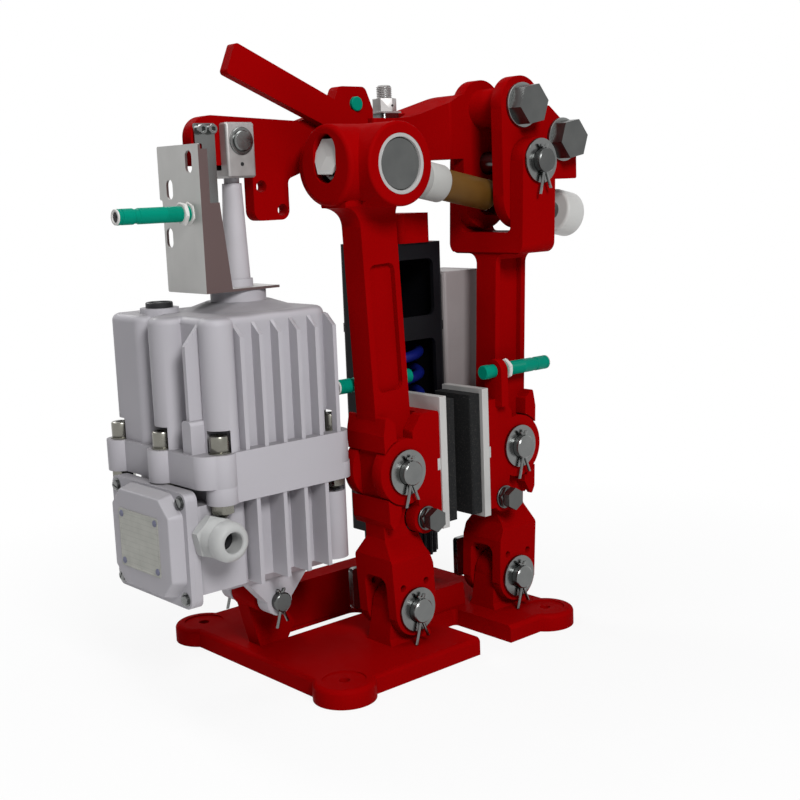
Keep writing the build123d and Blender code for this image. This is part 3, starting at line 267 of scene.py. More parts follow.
def finished(name, smooth=30):
    """Leaves edit mode with sound normals, and puts the piece's place in its mesh."""
    bpy.ops.mesh.select_all(action="SELECT")
    bpy.ops.mesh.remove_doubles(threshold=0.001 * mm)
    bpy.ops.mesh.normals_make_consistent(inside=False)
    bpy.ops.object.mode_set(mode="OBJECT")
    piece = bpy.context.object
    bpy.ops.object.transform_apply(location=True, rotation=True, scale=True)
    piece.name = piece.data.name = name
    bpy.ops.object.shade_smooth_by_angle(angle=math.radians(smooth))
    return piece


def fit(piece, material, body):
    """Gives a finished piece its surface and fixes it to the body that carries it."""
    piece.data.materials.clear()
    piece.data.materials.append(material)
    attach(piece, body)


def draw_out(*steps):
    """In edit mode, extrudes what is selected, one step after the other."""
    for step in steps:
        bpy.ops.mesh.extrude_region_move(TRANSFORM_OT_translate={"value": step})


def split_pin(name, hole, top, foot, splay):
    """A split pin through an upright hole: an eye on top, and below it two legs, opened by splay each."""
    wire = 1.35 * mm
    half = 1.05 * wire
    eye = 3.0 * mm
    hole = Vector(hole)
    deselect()
    bpy.ops.mesh.primitive_circle_add(vertices=8, radius=wire, location=hole + Vector((0, half, 0)))
    bpy.ops.object.transform_apply(location=True, rotation=True, scale=True)
    bpy.ops.object.mode_set(mode="EDIT")
    pick("VERT", lambda v: True)
    draw_out((0, 0, top - eye), (0, eye - half, eye))
    bpy.ops.mesh.spin(steps=10, angle=math.pi, center=hole + Vector((0, 0, top)), axis=(1, 0, 0))
    draw_out((0, eye - half, -eye), (0, 0, eye - top), (0, 0, -foot), (0, -splay, -3.4 * splay))
    pick("VERT", lambda v: abs(v.co.z - hole.z) < 0.01 * mm and v.co.y > hole.y)
    draw_out((0, 0, -foot), (0, splay, -2.5 * splay))
    return finished(name, 40)


def pin_axis(node):
    """Middle of a round pin or bolt that lies along X, as y and z, and the place of its front end."""
    low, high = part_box(node)
    return (low.y + high.y) / 2, (low.z + high.z) / 2, high.x


bright_wire = zinc_plate("split_pin_wire")
anchor_y, anchor_z, anchor_face = pin_axis("spring_anchor_pin")
coat(["spring_anchor_pin"], zinc_plate("anchor_pin_zinc", (anchor_y, anchor_z)), 0.5)
anchor_split = split_pin("anchor_split_pin", (anchor_face - 3 * mm, anchor_y, anchor_z),
                         top=8.5 * mm, foot=7 * mm, splay=3.5 * mm)
fit(anchor_split, bright_wire, "base")

# Levers: two steel castings with waisted stems and bored heads, hinged on the base by their foot pins and
# sprayed with the same red enamel.
coat(["near_lever", "far_lever"], red_enamel, 1.5)

# Foot pins: turned steel with a collar washer and a split pin in front. Behind each, a keeper plate that
# sits in a slot of the pin is held to the lever by two screws with hexagon sockets.
split_inset = 3.5 * mm
large_split = {"top": 13.5 * mm, "foot": 10.5 * mm, "splay": 5 * mm}
for side, body, washer in (("near", "near_arm", "near_foot_washer"),
                           ("far", "far_arm", "far_lever_washers")):
    pin_y, pin_z, pin_face = pin_axis(f"{side}_foot_pin")
    coat([f"{side}_foot_pin"], zinc_plate(f"{side}_foot_pin_zinc", (pin_y, pin_z)), 0.8)
    coat([f"{side}_foot_keeper"], bright_wire, 0.4)
    coat([washer], zinc_plate(f"{side}_washer_zinc", (pin_y, pin_z)), 0.5)
    split = split_pin(f"{side}_foot_split_pin", (pin_face - split_inset, pin_y, pin_z), **large_split)
    fit(split, bright_wire, body)


def lone_corner(place):
    """Starts a mesh as one corner, selected in edit mode, for an outline to be drawn out from it."""
    deselect()
    bpy.ops.mesh.primitive_plane_add(size=mm, location=place)
    bpy.ops.object.transform_apply(location=True, rotation=True, scale=True)
    bpy.ops.object.mode_set(mode="EDIT")
    bpy.ops.mesh.select_mode(type="VERT")
    bpy.ops.mesh.select_all(action="SELECT")
    bpy.ops.mesh.merge(type="CENTER")


def turn(name, start, axis, outline, steps=40):
    """Turns a piece on a lathe. The outline holds places along the axis and radii, in millimetres."""
    start, axis = Vector(start), Vector(axis)
    across = Vector((1, 0, 0)) if abs(axis.z) > 0.5 else Vector((0, 0, 1))
    points = [start + (axis * along + across * radius) * mm for along, radius in outline]
    lone_corner(points[0])
    draw_out(*(there - here for here, there in zip(points, points[1:])))
    bpy.ops.mesh.select_all(action="SELECT")
    bpy.ops.mesh.spin(steps=steps, angle=2 * math.pi, center=start, axis=axis)
    return finished(name)


def cut(piece, tool, operation="DIFFERENCE"):
    """Cuts a tool's shape out of a piece, or keeps what the two share, and puts the tool away."""
    deselect()
    piece.select_set(True)
    bpy.context.view_layer.objects.active = piece
    bpy.ops.object.modifier_add(type="BOOLEAN")
    piece.modifiers[-1].operation = operation
    piece.modifiers[-1].object = tool
    bpy.ops.object.modifier_apply(modifier=piece.modifiers[-1].name)
    bpy.data.objects.remove(tool)


def bar_tool(sides, radius, middle, length, axis, twist=0.0):
    """A plain round or many-sided bar along an axis, to cut with or to be cut."""
    facing = Vector(axis).to_track_quat("Z", "Y").to_matrix() @ Matrix.Rotation(twist, 3, "Z")
    deselect()
    bpy.ops.mesh.primitive_cylinder_add(vertices=sides, radius=radius, depth=length, location=middle,
                                        rotation=facing.to_euler())
    return bpy.context.object


screw_aside = 12.6 * mm
screw_down = 8.5 * mm
keeper_tilt = 0.6 * mm
for side, sign, body in (("near", -1, "near_arm"), ("far", 1, "far_arm")):
    low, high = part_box(f"{side}_foot_keeper")
    for letter, across in (("a", -1), ("b", 1)):
        head_at = Vector((low.x, (low.y + high.y) / 2 + across * screw_aside,
                          high.z - screw_down - sign * across * keeper_tilt))
        screw = turn(f"{side}_keeper_screw_{letter}", head_at, (-1, 0, 0), [
            (-0.2, 0), (-0.2, 4.3), (2.6, 4.3), (3.4, 3.6), (3.4, 0)], 28)
        cut(screw, bar_tool(6, 2.3 * mm, head_at - Vector((3.4 * mm, 0, 0)), 3.2 * mm, (1, 0, 0)))
        fit(screw, bright_wire, body)

# Pad holders: cast carriers in the red enamel, which swing on the levers. Each is held by a turned pin with
# a head at the back, and a washer and a split pin in front.
coat(["near_pad_holder", "far_pad_holder"], red_enamel, 1.2)
for side in ("near", "far"):
    pin_y, pin_z, pin_face = pin_axis(f"{side}_pad_pin")
    coat([f"{side}_pad_pin"], zinc_plate(f"{side}_pad_pin_zinc", (pin_y, pin_z)), 0.6)
    coat([f"{side}_pad_washer"], zinc_plate(f"{side}_pad_washer_zinc", (pin_y, pin_z), 1.1), 0.4)
    split = split_pin(f"{side}_pad_split_pin", (pin_face - split_inset, pin_y, pin_z), **large_split)
    fit(split, bright_wire, f"{side}_pad")

# Brake pads: a pale pressed steel back, keyed into its holder, with a block of dark, gritty friction
# material bonded to it.
backing = Finish("pad_back_steel")
mill = backing.noise(60, 4, (1, 1, 0.2))
coat(["near_backplate", "far_backplate"], backing.surface(
    Base_Color=backing.blend(mill, (0.40, 0.395, 0.385, 1), (0.55, 0.545, 0.53, 1)),
    Metallic=0.15, Roughness=backing.spread(mill, 0.3, 0.7) * 0.15 + 0.42,
    Normal=backing.bump(mill, 0.12, 0.0002)), 0.5)
grit = Finish("friction_block")
fibre = grit.noise(420, 5)
flecks = grit.noise(1300, 1)
coat(["near_lining", "far_lining"], grit.surface(
    Base_Color=grit.blend(grit.spread(flecks, 0.62, 0.72),
                          (0.008, 0.0085, 0.009, 1), (0.05, 0.046, 0.042, 1)),
    Roughness=0.88, Specular_IOR_Level=0.2, Normal=grit.bump(fibre, 0.35, 0.0005)), 0.5)


# Levelling bolts: hexagon bolts in dull zinc that set the pad holders parallel to the disc. Each has a
# plain washer and a lock nut on its shank, in front of the holder.
def hex_nut(name, start, axis, flats, height, twist=0.0, spare=1 * mm):
    """A hexagon bar with both ends chamfered round, from start along its axis.

    It is cut from a longer bar, because the cut fails at times where two end faces lie in one plane."""
    start, axis = Vector(start), Vector(axis)
    corner = flats / math.sqrt(3)
    flat_r, wide_r, long = flats * 0.475 / mm, corner * 1.02 / mm, height / mm
    slope = (corner / mm - flat_r) * 0.6
    lathe = turn("blank", start, axis, [
        (0, 0), (0, flat_r), (slope, wide_r), (long - slope, wide_r), (long, flat_r), (long, 0)], 36)
    nut = bar_tool(6, corner, start + axis * height / 2, height + 2 * spare, axis, twist)
    bpy.ops.object.transform_apply(location=True, rotation=True, scale=True)
    cut(nut, lathe, "INTERSECT")
    nut.name = nut.data.name = name
    bpy.ops.object.shade_smooth_by_angle(angle=math.radians(20))
    return nut


shank_seat = 14 * mm
washer_thick = 2
for side in ("near", "far"):
    bolt_y, bolt_z, bolt_face = pin_axis(f"{side}_level_bolt")
    bolt_zinc = zinc_plate(f"{side}_level_zinc", (bolt_y, bolt_z), 0.6, 0.14)
    coat([f"{side}_level_bolt"], bolt_zinc, 0.5)
    seat = Vector((bolt_face - shank_seat, bolt_y, bolt_z))
    washer = turn(f"{side}_level_washer", seat, (1, 0, 0), [
        (0, 5), (0, 9.6), (0.3, 10), (washer_thick - 0.3, 10), (washer_thick, 9.6), (washer_thick, 5),
        (0, 5)])
    fit(washer, bolt_zinc, f"{side}_pad")
    nut = hex_nut(f"{side}_level_nut", seat + Vector((washer_thick * mm, 0, 0)), (1, 0, 0),
                  flats=16.5 * mm, height=4.2 * mm, twist=0.3)
    fit(nut, bolt_zinc, f"{side}_pad")


# Wear and stroke sensors: a green moulded barrel with a domed sensing face, a fine thread for its thin
# nuts, and a pale ring round the dark cable socket at its other end.
def moulding(name, dark, light, roughness, shine=0.25):
    """Plain moulded plastic with a faint grain."""
    plastic = Finish(name)
    flow = plastic.noise(35, 4)
    return plastic.surface(
        Base_Color=plastic.blend(flow, dark, light), Specular_IOR_Level=shine,
        Roughness=plastic.spread(flow, 0.3, 0.7) * 0.1 + roughness,
        Normal=plastic.bump(plastic.noise(800, 2), 0.08, 0.0002))


green_barrel = moulding("green_barrel", (0.0, 0.205, 0.135, 1), (0.0, 0.25, 0.17, 1), 0.34, 0.05)
ring_plastic = moulding("sensor_ring", (0.60, 0.59, 0.57, 1), (0.68, 0.67, 0.65, 1), 0.4)
socket_black = moulding("socket_black", (0.012, 0.012, 0.013, 1), (0.02, 0.02, 0.022, 1), 0.45)


def sensor(node, axis, body, thread, nuts):
    """A sensor that replaces its plain barrel. Its axis points from the sensing face to the cable end.

    The thread's first and last groove and the nuts' places and thicknesses are in mm from that face."""
    low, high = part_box(node)
    axis = Vector(axis)
    length = max(high - low) / mm
    face = (low + high) / 2 - axis * length * mm / 2

    def from_end(*points):
        return [(length - inset, radius) for inset, radius in points]

    grooves = []
    for place in range(thread[0], thread[1] + 1):
        grooves += [(place, 5.65), (place + 0.5, 6)]
    barrel = turn(f"{node}_barrel", face, axis, [
        (0, 0), (0, 5.3), (0.7, 6), (7, 6), (7, 5.7), (8, 5.7), *grooves, *from_end(
            (19, 6), (18.3, 5.35), (15, 5.35), (14.3, 6), (5, 6), (4.6, 5.5), (3.6, 5.5), (3.2, 6),
            (1.2, 6), (1.2, 0))])
    fit(barrel, green_barrel, body)
    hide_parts(node)
    end_ring = turn(f"{node}_end_ring", face, axis, from_end(
        (1.4, 4.0), (1.4, 5.9), (0.3, 5.9), (0, 5.6), (0, 4.3), (0.3, 4.0), (1.4, 4.0)))
    fit(end_ring, ring_plastic, body)
    socket = turn(f"{node}_socket", face, axis, from_end(
        (1.3, 0), (1.3, 4.1), (1.0, 4.1), (1.0, 1.0), (0.4, 0.8), (0.4, 0)))
    fit(socket, socket_black, body)
    for i, (place, thickness) in enumerate(nuts):
        nut = hex_nut(f"{node}_nut_{i + 1}", face + axis * place * mm, axis,
                      flats=16 * mm, height=thickness * mm, twist=0.25 * i + 0.1)
        fit(nut, ring_plastic, body)


for side, axis in (("near", (0, -1, 0)), ("far", (0, 1, 0))):
    sensor(f"{side}_wear_sensor", axis, f"{side}_pad", (20, 48), [(25.7, 3.4)])

# Crank: a two-cheeked casting on the far lever's pin, a long plate bolted to it, and the bolts with their
# washers and nuts. The pin is turned, with a split pin in front.
coat(["bell_crank", "crank_plate"], red_enamel, 1.2)
pin_y, pin_z, pin_face = pin_axis("crank_pin")
coat(["crank_pin"], zinc_plate("crank_pin_zinc", (pin_y, pin_z), 0.55), 0.8)
fit(split_pin("crank_split_pin", (pin_face - split_inset, pin_y, pin_z), **large_split),
    bright_wire, "far_arm")
coat(["crank_bolts", "crank_nuts"], zinc_plate("bolt_zinc", None, 0.58, 0.18), 0.9, 25)
coat(["crank_washers"], zinc_plate("washer_zinc", None, 1.2, 0.1), 0.5)

# Hand lever: a flat steel bar with rounded corners, fixed to the front of the crank's long plate and
# sprayed red with it. It releases the brake by hand.
coat(["hand_lever"], red_enamel, 0.8)

# Position sensor of the crank: a green barrel like the other sensors, screwed through the long plate, with
# one thin nut behind it.
sensor("crank_sensor", (-1, 0, 0), "crank", (14, 34), [(15.2, 3.6)])

# Near head: the trunnion is a turned bar, zinc plated. It turns in a pale plastic bush, pressed into the
# lever's cross bore.
coat(["near_head_bush"], moulding("bush_plastic", (0.36, 0.352, 0.345, 1), (0.43, 0.422, 0.414, 1), 0.4), 0.5)
trunnion_y, trunnion_z = pin_axis("tie_trunnion")[:2]
coat(["tie_trunnion"], zinc_plate("trunnion_zinc", (trunnion_y, trunnion_z), 0.65), 0.4)

# Tie spindle with its nuts, the rubber sleeve against dirt, the brass-coloured adjuster tube, the crank's
# trunnion and the ribbed plastic cap on its end.
coat(["tie_spindle", "tie_nuts"], zinc_plate("spindle_zinc"), 0.5)
coat(["end_trunnion"], bright_wire, 0.5)
coat(["tie_boot"], moulding("pale_rubber", (0.34, 0.34, 0.325, 1), (0.40, 0.40, 0.385, 1), 0.55), 0.6)
brassy = Finish("adjuster_brass")
tarnish = brassy.noise(45, 4)
coat(["adjuster_tube"], brassy.surface(
    Base_Color=brassy.blend(tarnish, (0.085, 0.037, 0.004, 1), (0.130, 0.060, 0.008, 1)),
    Metallic=0.25, Roughness=brassy.spread(tarnish, 0.3, 0.7) * 0.15 + 0.45, Specular_IOR_Level=0.25,
    Normal=brassy.bump(brassy.noise(700, 2), 0.1, 0.0002)), 0.5)
cap_plastic = moulding("cap_plastic", (0.52, 0.52, 0.51, 1), (0.60, 0.60, 0.58, 1), 0.35)
coat(["end_cap"], cap_plastic, 0.3)

# Cap on the spindle's near end: a pale hexagon moulding, pressed over the thread behind the last nut. It
# lies on the line that rises from the crank's trunnion to the near one, and its bar makes its outer end.
lever_x = 30 * mm
spindle_axis = Vector((0, -154.6, 31.0)).normalized()
past_trunnion = 32.0 * mm
cap_at = Vector((lever_x, trunnion_y, trunnion_z)) + spindle_axis * past_trunnion
spindle_cap = hex_nut("spindle_cap", cap_at, spindle_axis, flats=27 * mm, height=6.4 * mm, twist=0.5,
                      spare=0)
fit(spindle_cap, cap_plastic, "tie")

# Thruster housings: pressure-cast alloy, the motor's finned can below the flange and the pump cylinder
# above it, sprayed with a satin pale grey that is slightly violet. Their upward faces are painted darker, as
# painted shade.
grey = Finish("grey_paint")
cloud = grey.noise(8, 4)
peel = grey.noise(380, 3)
facing = grey.node("ShaderNodeTexCoord", output="Normal")
facing_up = grey.node("ShaderNodeSeparateXYZ", {}, {0: facing}, output="Z")
# Painted shade: faces that look up are blended towards dark grey, standing in for the shadow that falls on
# the tops.
painted_top_shade = grey.spread(facing_up + grey.noise(45, 5) * 0.3, 0.75, 1.1) * 0.55
unshaded_grey = grey.blend(cloud, (0.400, 0.387, 0.414, 1), (0.458, 0.442, 0.473, 1))
grey_paint = grey.surface(
    Base_Color=grey.blend(painted_top_shade, unshaded_grey, (0.100, 0.094, 0.096, 1)),
    Roughness=grey.spread(grey.noise(60), 0.3, 0.7) * 0.12 + 0.42, Specular_IOR_Level=0.2,
    Normal=grey.bump(peel, 0.16, 0.0003))
coat(["motor_housing", "thruster_cylinder"], grey_paint, 1.2)

# Flange screws: five steel screws with hexagon sockets stand on the flange's ears and clamp the cylinder to
# the motor's can. Below each ear are its nut and the end of its thread.
olive = Finish("screw_steel")
sheen = olive.noise(90, 3)
screw_steel = olive.surface(
    Base_Color=olive.blend(sheen, (0.16, 0.155, 0.135, 1), (0.25, 0.245, 0.215, 1)), Metallic=1.0,
    Roughness=olive.spread(sheen, 0.3, 0.7) * 0.12 + 0.2, Normal=olive.bump(olive.noise(900, 2), 0.1, 0.0001))
ear_top = 197.0
screw_places = ((-97, -236), (-33, -237), (19, -220), (12, -109), (-86, -109))
nut_tops = (172, 172, 159, 159, 159)
nut_height = 7.5
stud_thread = [(0.4 + j * 0.5, 4 - 0.45 * (j % 2)) for j in range(6)]
for i, ((x, y), nut_top) in enumerate(zip(screw_places, nut_tops)):
    seat = Vector((x, y, ear_top)) * mm
    head = turn(f"flange_screw_{i + 1}", seat, (0, 0, 1), [
        (0, 0), (0, 8.4), (1.2, 8.4), (1.2, 7.3), (1.7, 7.5), (12.4, 7.5), (13.2, 7.1), (13.6, 6.4),
        (13.6, 0)], 36)
    cut(head, bar_tool(6, 4.0 * mm, seat + Vector((0, 0, 14 * mm)), 13 * mm, (0, 0, 1)))
    fit(head, screw_steel, "thruster")
    nut = hex_nut(f"flange_nut_{i + 1}", Vector((x, y, nut_top)) * mm, (0, 0, -1),
                  flats=16.5 * mm, height=nut_height * mm, twist=0.2 + i)
    fit(nut, screw_steel, "thruster")
    tail_at = Vector((x, y, nut_top - nut_height + 0.5)) * mm
    tail = turn(f"flange_stud_{i + 1}", tail_at, (0, 0, -1), [
        (0, 0), (0, 4), *stud_thread, (3.6, 3.2), (3.6, 0)], 24)
    fit(tail, screw_steel, "thruster")

# Filler plug: a black moulded plug with a raised rim and a cross bar to turn it, screwed into its boss on
# top of the cylinder.
plug_at = Vector((-64, -213, 301)) * mm
plug = turn("filler_plug", plug_at, (0, 0, 1), [
    (-0.5, 0), (-0.5, 10.6), (3.6, 10.6), (4.4, 9.8), (4.4, 8.4), (2.6, 7.8), (2.6, 0)], 44)
fit(plug, socket_black, "thruster")
deselect()
bpy.ops.mesh.primitive_cube_add(size=1, location=plug_at + Vector((0, 0, 3.3 * mm)),
                                scale=(15.4 * mm, 3 * mm, 1.8 * mm))
bpy.ops.object.mode_set(mode="EDIT")
pick("EDGE", lambda e: True)
bpy.ops.mesh.bevel(offset=0.5 * mm, segments=2, affect="EDGES")
fit(finished("filler_plug_bar"), socket_black, "thruster")

# Terminal box: a cast frame on the motor and its cast cover, sprayed grey with the housings. Four slotted
# pan-head screws hold the cover.
coat(["terminal_box", "terminal_cover"], grey_paint, 1.0)
cover_face = -251.0
for i, (x, z) in enumerate([(x, z) for z in (89.5, 163.5) for x in (-82.5, 9.5)]):
    seat = Vector((x, cover_face, z)) * mm
    screw = turn(f"cover_screw_{i + 1}", seat, (0, -1, 0), [
        (-0.3, 0), (-0.3, 5.4), (0.5, 5.4), (0.5, 3.9), (2.2, 3.9), (2.9, 3.1), (3.1, 0)], 28)
    slot_turn = 0.5 + i * 0.7
    deselect()
    bpy.ops.mesh.primitive_cube_add(size=1, location=seat - Vector((0, 3 * mm, 0)),
                                    rotation=(0, slot_turn, 0), scale=(1.1 * mm, 2.4 * mm, 9 * mm))
    cut(screw, bpy.context.object)
    fit(screw, bright_wire, "thruster")

# Rating plate: a thin stamped steel plate, left bare inside its rolled rim, with the faint lines of an
# empty form. A blue-grey rivet at each corner holds it to the cover.
def slab(middle, size):
    """Starts a flat piece as a block of this size in edit mode."""
    deselect()
    bpy.ops.mesh.primitive_cube_add(size=1, location=middle, scale=size)
    bpy.ops.object.transform_apply(location=True, rotation=True, scale=True)
    bpy.ops.object.mode_set(mode="EDIT")


plate_face = -262.0
plate_thick = 0.5
plate_x = (-62.5, -5.5)
plate_z = (105.2, 151.0)
slab(Vector((sum(plate_x) / 2, plate_face - plate_thick / 2, sum(plate_z) / 2)) * mm,
     ((plate_x[1] - plate_x[0]) * mm, plate_thick * mm, (plate_z[1] - plate_z[0]) * mm))
pick("EDGE", lambda e: abs(e.verts[0].co.y - e.verts[1].co.y) > 0.1 * mm)
bpy.ops.mesh.bevel(offset=1.8 * mm, segments=3, affect="EDGES")
pick("FACE", lambda f: f.normal.y < -0.9)
bpy.ops.mesh.inset(thickness=1.3 * mm)
bpy.ops.mesh.inset(thickness=0.25 * mm, depth=-0.15 * mm)
half_row = 2.1
half_column = 14.0
label = Finish("rating_plate")
x_place, z_place = label.axes("XZ")
row = (z_place * 1000.0 - plate_z[0]).math("PINGPONG", half_row)
column = (x_place * 1000.0 - plate_x[0]).math("PINGPONG", half_column)
field = (row < 0.22) * 0.30 + (column < 0.25) * 0.15
mottle = label.noise(120, 4)
rating_plate = finished("rating_plate")
fit(rating_plate, label.surface(
    Base_Color=label.blend(mottle * 0.5 + field, (0.41, 0.41, 0.37, 1), (0.22, 0.22, 0.20, 1)),
    Metallic=0.2, Roughness=label.spread(mottle, 0.3, 0.7) * 0.1 + 0.4,
    Normal=label.bump(label.noise(500, 2, (0.1, 1, 1)), 0.1, 0.0001)), "thruster")
rivet_blue = moulding("rivet_blue", (0.11, 0.115, 0.17, 1), (0.16, 0.165, 0.23, 1), 0.3)
for i, (x, z) in enumerate([(x, z) for x in (-58.3, -9.7) for z in (109.4, 146.8)]):
    rivet = turn(f"plate_rivet_{i + 1}", Vector((x, plate_face, z)) * mm, (0, -1, 0), [
        (0.3, 0), (0.3, 2.7), (0.8, 2.6), (1.4, 1.9), (1.7, 0.9), (1.8, 0)], 20)
    fit(rivet, rivet_blue, "thruster")

# Cable gland: a pale moulding with a hexagon collar and a ribbed dome nut, screwed into the side of the
# terminal box. Its rubber seal is open where a cord would enter.
gland_plastic = moulding("gland_plastic", (0.40, 0.405, 0.40, 1), (0.47, 0.475, 0.47, 1), 0.36)
gland_low, gland_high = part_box("cable_gland")
gland_root = Vector((gland_low.x, (gland_low.y + gland_high.y) / 2, (gland_low.z + gland_high.z) / 2))
collar = hex_nut("gland_collar", gland_root, (1, 0, 0), flats=30 * mm, height=9 * mm, twist=0.2)
fit(collar, gland_plastic, "thruster")
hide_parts("cable_gland")
ribs = [(9.8 + j * 0.9, 15.0 - 0.9 * (j % 2)) for j in range(12)]
dome = turn("gland_dome", gland_root, (1, 0, 0), [
    (8.8, 0), (8.8, 14.0), *ribs, (20.6, 15.2), (26, 15.2), (29, 14.2), (31, 12.6), (31.9, 11.0), (32, 9.6),
    (31.6, 8.6), (30.6, 7.9), (16, 7.7), (16, 0)], 48)
fit(dome, gland_plastic, "thruster")
seal = turn("gland_seal", gland_root + Vector((15.9 * mm, 0, 0)), (1, 0, 0), [
    (0, 0), (0, 7.6), (2, 7.6), (3, 4.0), (1.5, 3.0), (1.5, 0)], 32)
fit(seal, socket_black, "thruster")

# Foot pin of the thruster: turned steel, zinc plated, pushed through the base's lug and the thruster's eye,
# with a split pin at each end.
pin_y, pin_z, pin_face = pin_axis("thruster_foot_pin")
pin_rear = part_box("thruster_foot_pin")[0].x
coat(["thruster_foot_pin"], zinc_plate("thruster_pin_zinc", (pin_y, pin_z), 0.6), 0.6)
for end, x in (("front", pin_face - split_inset), ("rear", pin_rear + split_inset)):
    split = split_pin(f"thruster_{end}_split_pin", (x, pin_y, pin_z),
                      top=10.5 * mm, foot=8 * mm, splay=3.8 * mm)
    fit(split, bright_wire, "thruster")

# Sensor bracket: bent from steel sheet, with slots to set it. Its broad face is bright and streaked from
# the rolls, and its folded flank is painted a dark reddish brown as painted shade. The stroke sensor sits in
# it with two nuts.
sheet = Finish("bright_sheet")
rolled = sheet.noise(30, 4, (1, 1, 0.15))
stain = sheet.noise(26, 6)
sheet_facing = sheet.node("ShaderNodeTexCoord", output="Normal")
# Painted shade and painted reddish reflection: faces that point along +X are blended to dark brown.
painted_shade_flank = sheet.node("ShaderNodeSeparateXYZ", {}, {0: sheet_facing}, output="X")
steel_tone = sheet.blend(rolled * 0.5 + stain * 0.5, (0.30, 0.295, 0.285, 1), (0.60, 0.595, 0.58, 1))
coat(["sensor_bracket"], sheet.surface(
    Base_Color=sheet.blend(sheet.spread(painted_shade_flank, 0.5, 0.9), steel_tone, (0.105, 0.068, 0.066, 1)), Metallic=0.4,
    Roughness=sheet.spread(rolled, 0.3, 0.7) * 0.15 + 0.33, Normal=sheet.bump(rolled, 0.1, 0.0002)), 0.4)
sensor("stroke_sensor", (0, -1, 0), "thruster", (8, 26), [(3.0, 3.0), (9.2, 3.4)])

# Rod of the thruster: turned steel in a pale plastic guard sleeve, with the piston inside. The clevis on
# its end is milled from square bar, and its pin is held by a wire ring.
sleeve = moulding("sleeve_plastic", (0.43, 0.415, 0.44, 1), (0.50, 0.48, 0.51, 1), 0.42)
coat(["thruster_rod"], sleeve, 0.5)
coat(["piston"], bright_wire, 0.5)
milled = Finish("milled_clevis")
passes = milled.noise(140, 3, (0.1, 1, 1))
milled_steel = milled.surface(
    Base_Color=milled.blend(passes, (0.30, 0.29, 0.285, 1), (0.40, 0.385, 0.38, 1)), Metallic=0.5,
    Roughness=milled.spread(passes, 0.3, 0.7) * 0.15 + 0.35, Normal=milled.bump(passes, 0.12, 0.0002))
coat(["rod_clevis"], milled_steel, 0.6)
pin_y, pin_z = pin_axis("clevis_pin")[:2]
coat(["clevis_pin"], zinc_plate("clevis_pin_zinc", (pin_y, pin_z)), 0.5)
clevis_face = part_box("rod_clevis")[1].x
pin_ring = turn("clevis_pin_ring", (clevis_face, pin_y, pin_z), (1, 0, 0), [
    (0, 8.1), (0, 10.2), (0.4, 10.5), (1.2, 10.5), (1.6, 10.1), (1.6, 8.1), (0, 8.1)])
fit(pin_ring, bright_wire, "thruster_plunger")
lock_drop = 17.5 * mm
lock_screw = turn("clevis_lock_screw", (clevis_face, pin_y, pin_z - lock_drop), (1, 0, 0), [
    (-0.1, 0), (-0.1, 1.6), (0.15, 1.5), (0.15, 0)], 20)
fit(lock_screw, socket_black, "thruster_plunger")

# Target flag: a small steel plate with a leg for the stroke sensor to see, screwed to the crank's long plate
# beside the clevis with two socket-head screws.
flag_x = (-30.9, -28.9)
flag_middle = Vector((sum(flag_x) / 2, -184.5, 432)) * mm
flag_leg = 48 * mm
slab(flag_middle, (2 * mm, 18 * mm, 15 * mm))
bpy.ops.mesh.subdivide(number_cuts=2)
pick("FACE", lambda f: f.normal.z < -0.9 and f.calc_center_median().y > -188 * mm)
draw_out((0, 0, -flag_leg))
pick("EDGE", lambda e: abs(e.verts[0].co.x - e.verts[1].co.x) > 0.4 * mm and e.calc_face_angle(0) > 1)
bpy.ops.mesh.bevel(offset=1.0 * mm, segments=2, affect="EDGES")
fit(finished("target_flag"), zinc_plate("flag_zinc", None, 0.9), "crank")
for i, y in enumerate((-188.4, -179.4)):
    seat = Vector((flag_x[1], y, 435)) * mm
    screw = turn(f"flag_screw_{i + 1}", seat, (1, 0, 0), [
        (-0.1, 0), (-0.1, 4.3), (0.5, 4.3), (0.5, 3.9), (4.3, 3.9), (4.8, 3.5), (4.8, 0)], 28)
    cut(screw, bar_tool(6, 2.2 * mm, seat + Vector((4.8 * mm, 0, 0)), 5 * mm, (1, 0, 0)))
    fit(screw, bright_wire, "crank")

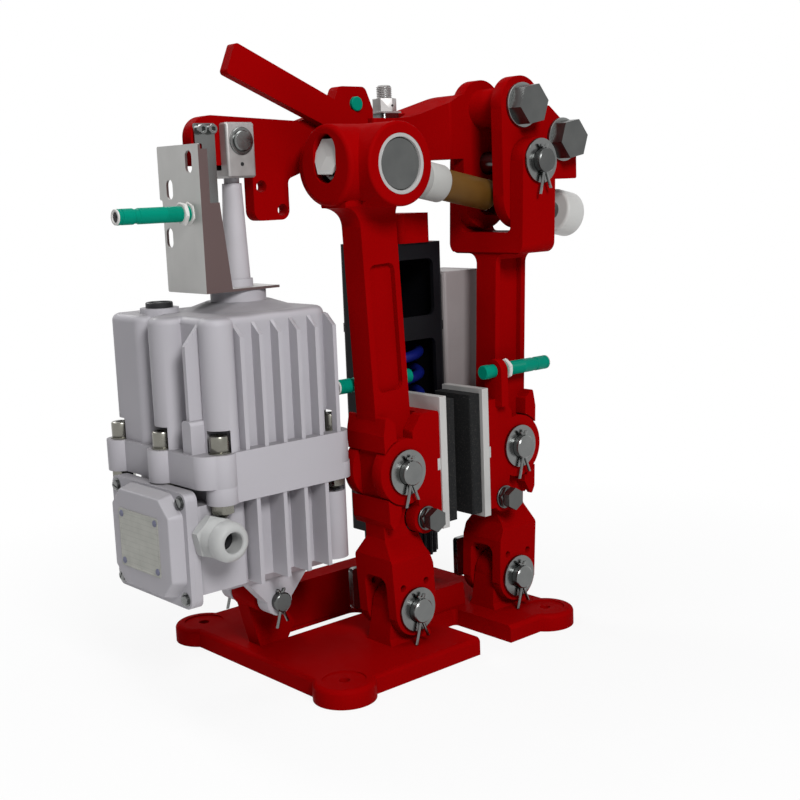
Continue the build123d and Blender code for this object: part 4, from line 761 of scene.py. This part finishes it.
# Spring unit: a black square tube, open at its window, with a red head, a knurled cap below and the blue
# brake spring, and the pale moulded junction box beside it.
black = Finish("black_lacquer")
haze = black.noise(25, 4)
black_lacquer = black.surface(
    Base_Color=black.blend(haze, (0.003, 0.003, 0.004, 1), (0.007, 0.007, 0.009, 1)),
    Roughness=black.spread(haze, 0.3, 0.7) * 0.12 + 0.34, Specular_IOR_Level=0.08,
    Normal=black.bump(black.noise(420, 3), 0.12, 0.0002))
coat(["spring_tube", "spring_cap"], black_lacquer, 0.8)
coat(["spring_head"], red_enamel, 1.0)
blue = Finish("blue_spring")
drawn = blue.noise(80, 3)
coat(["brake_spring"], blue.surface(
    Base_Color=blue.blend(drawn, (0.003, 0.006, 0.09, 1), (0.006, 0.012, 0.15, 1)),
    Roughness=blue.spread(drawn, 0.3, 0.7) * 0.15 + 0.3, Specular_IOR_Level=0.12,
    Normal=blue.bump(drawn, 0.1, 0.0002)))
coat(["junction_box"], moulding("box_plastic", (0.25, 0.225, 0.225, 1), (0.30, 0.27, 0.27, 1), 0.32), 1.2)

# Spring rod: round steel that pulls the crank's arm down. Its trunnion is turned and its nut milled, and
# its end is threaded above the nut. A paint dot marks where the nut was set.
coat(["spring_rod", "rod_trunnion"], bright_wire, 0.4)
coat(["rod_nut"], milled_steel, 0.6, 25)
nut_low, nut_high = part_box("rod_nut")
rod_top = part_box("spring_rod")[1].z
rod_x, rod_y = (nut_low.x + nut_high.x) / 2, (nut_low.y + nut_high.y) / 2
pitch = 1.5 * mm
core = 5.9 * mm
depth = 0.85 * mm
lone_corner((core, 0, 0))
draw_out((depth, 0, pitch / 2), (-depth, 0, pitch / 2))
bpy.ops.object.mode_set(mode="OBJECT")
thread = bpy.context.object
bpy.ops.object.modifier_add(type="SCREW")
thread.modifiers[-1].screw_offset = pitch
thread.modifiers[-1].iterations = int((rod_top - nut_high.z) / pitch)
thread.modifiers[-1].steps = thread.modifiers[-1].render_steps = 24
bpy.ops.object.modifier_apply(modifier=thread.modifiers[-1].name)
thread.data.transform(Matrix.Translation((rod_x, rod_y, nut_high.z - 1.2 * mm)))
bpy.ops.object.mode_set(mode="EDIT")
fit(finished("rod_thread", 50), milled_steel, "spring_plunger")
nut_mark = turn("nut_mark", (nut_high.x - 0.05 * mm, rod_y, (nut_low.z + nut_high.z) / 2), (1, 0, 0), [
    (-0.4, 0), (-0.4, 1.1), (0.05, 1.0), (0.05, 0)], 16)
fit(nut_mark, socket_black, "spring_plunger")
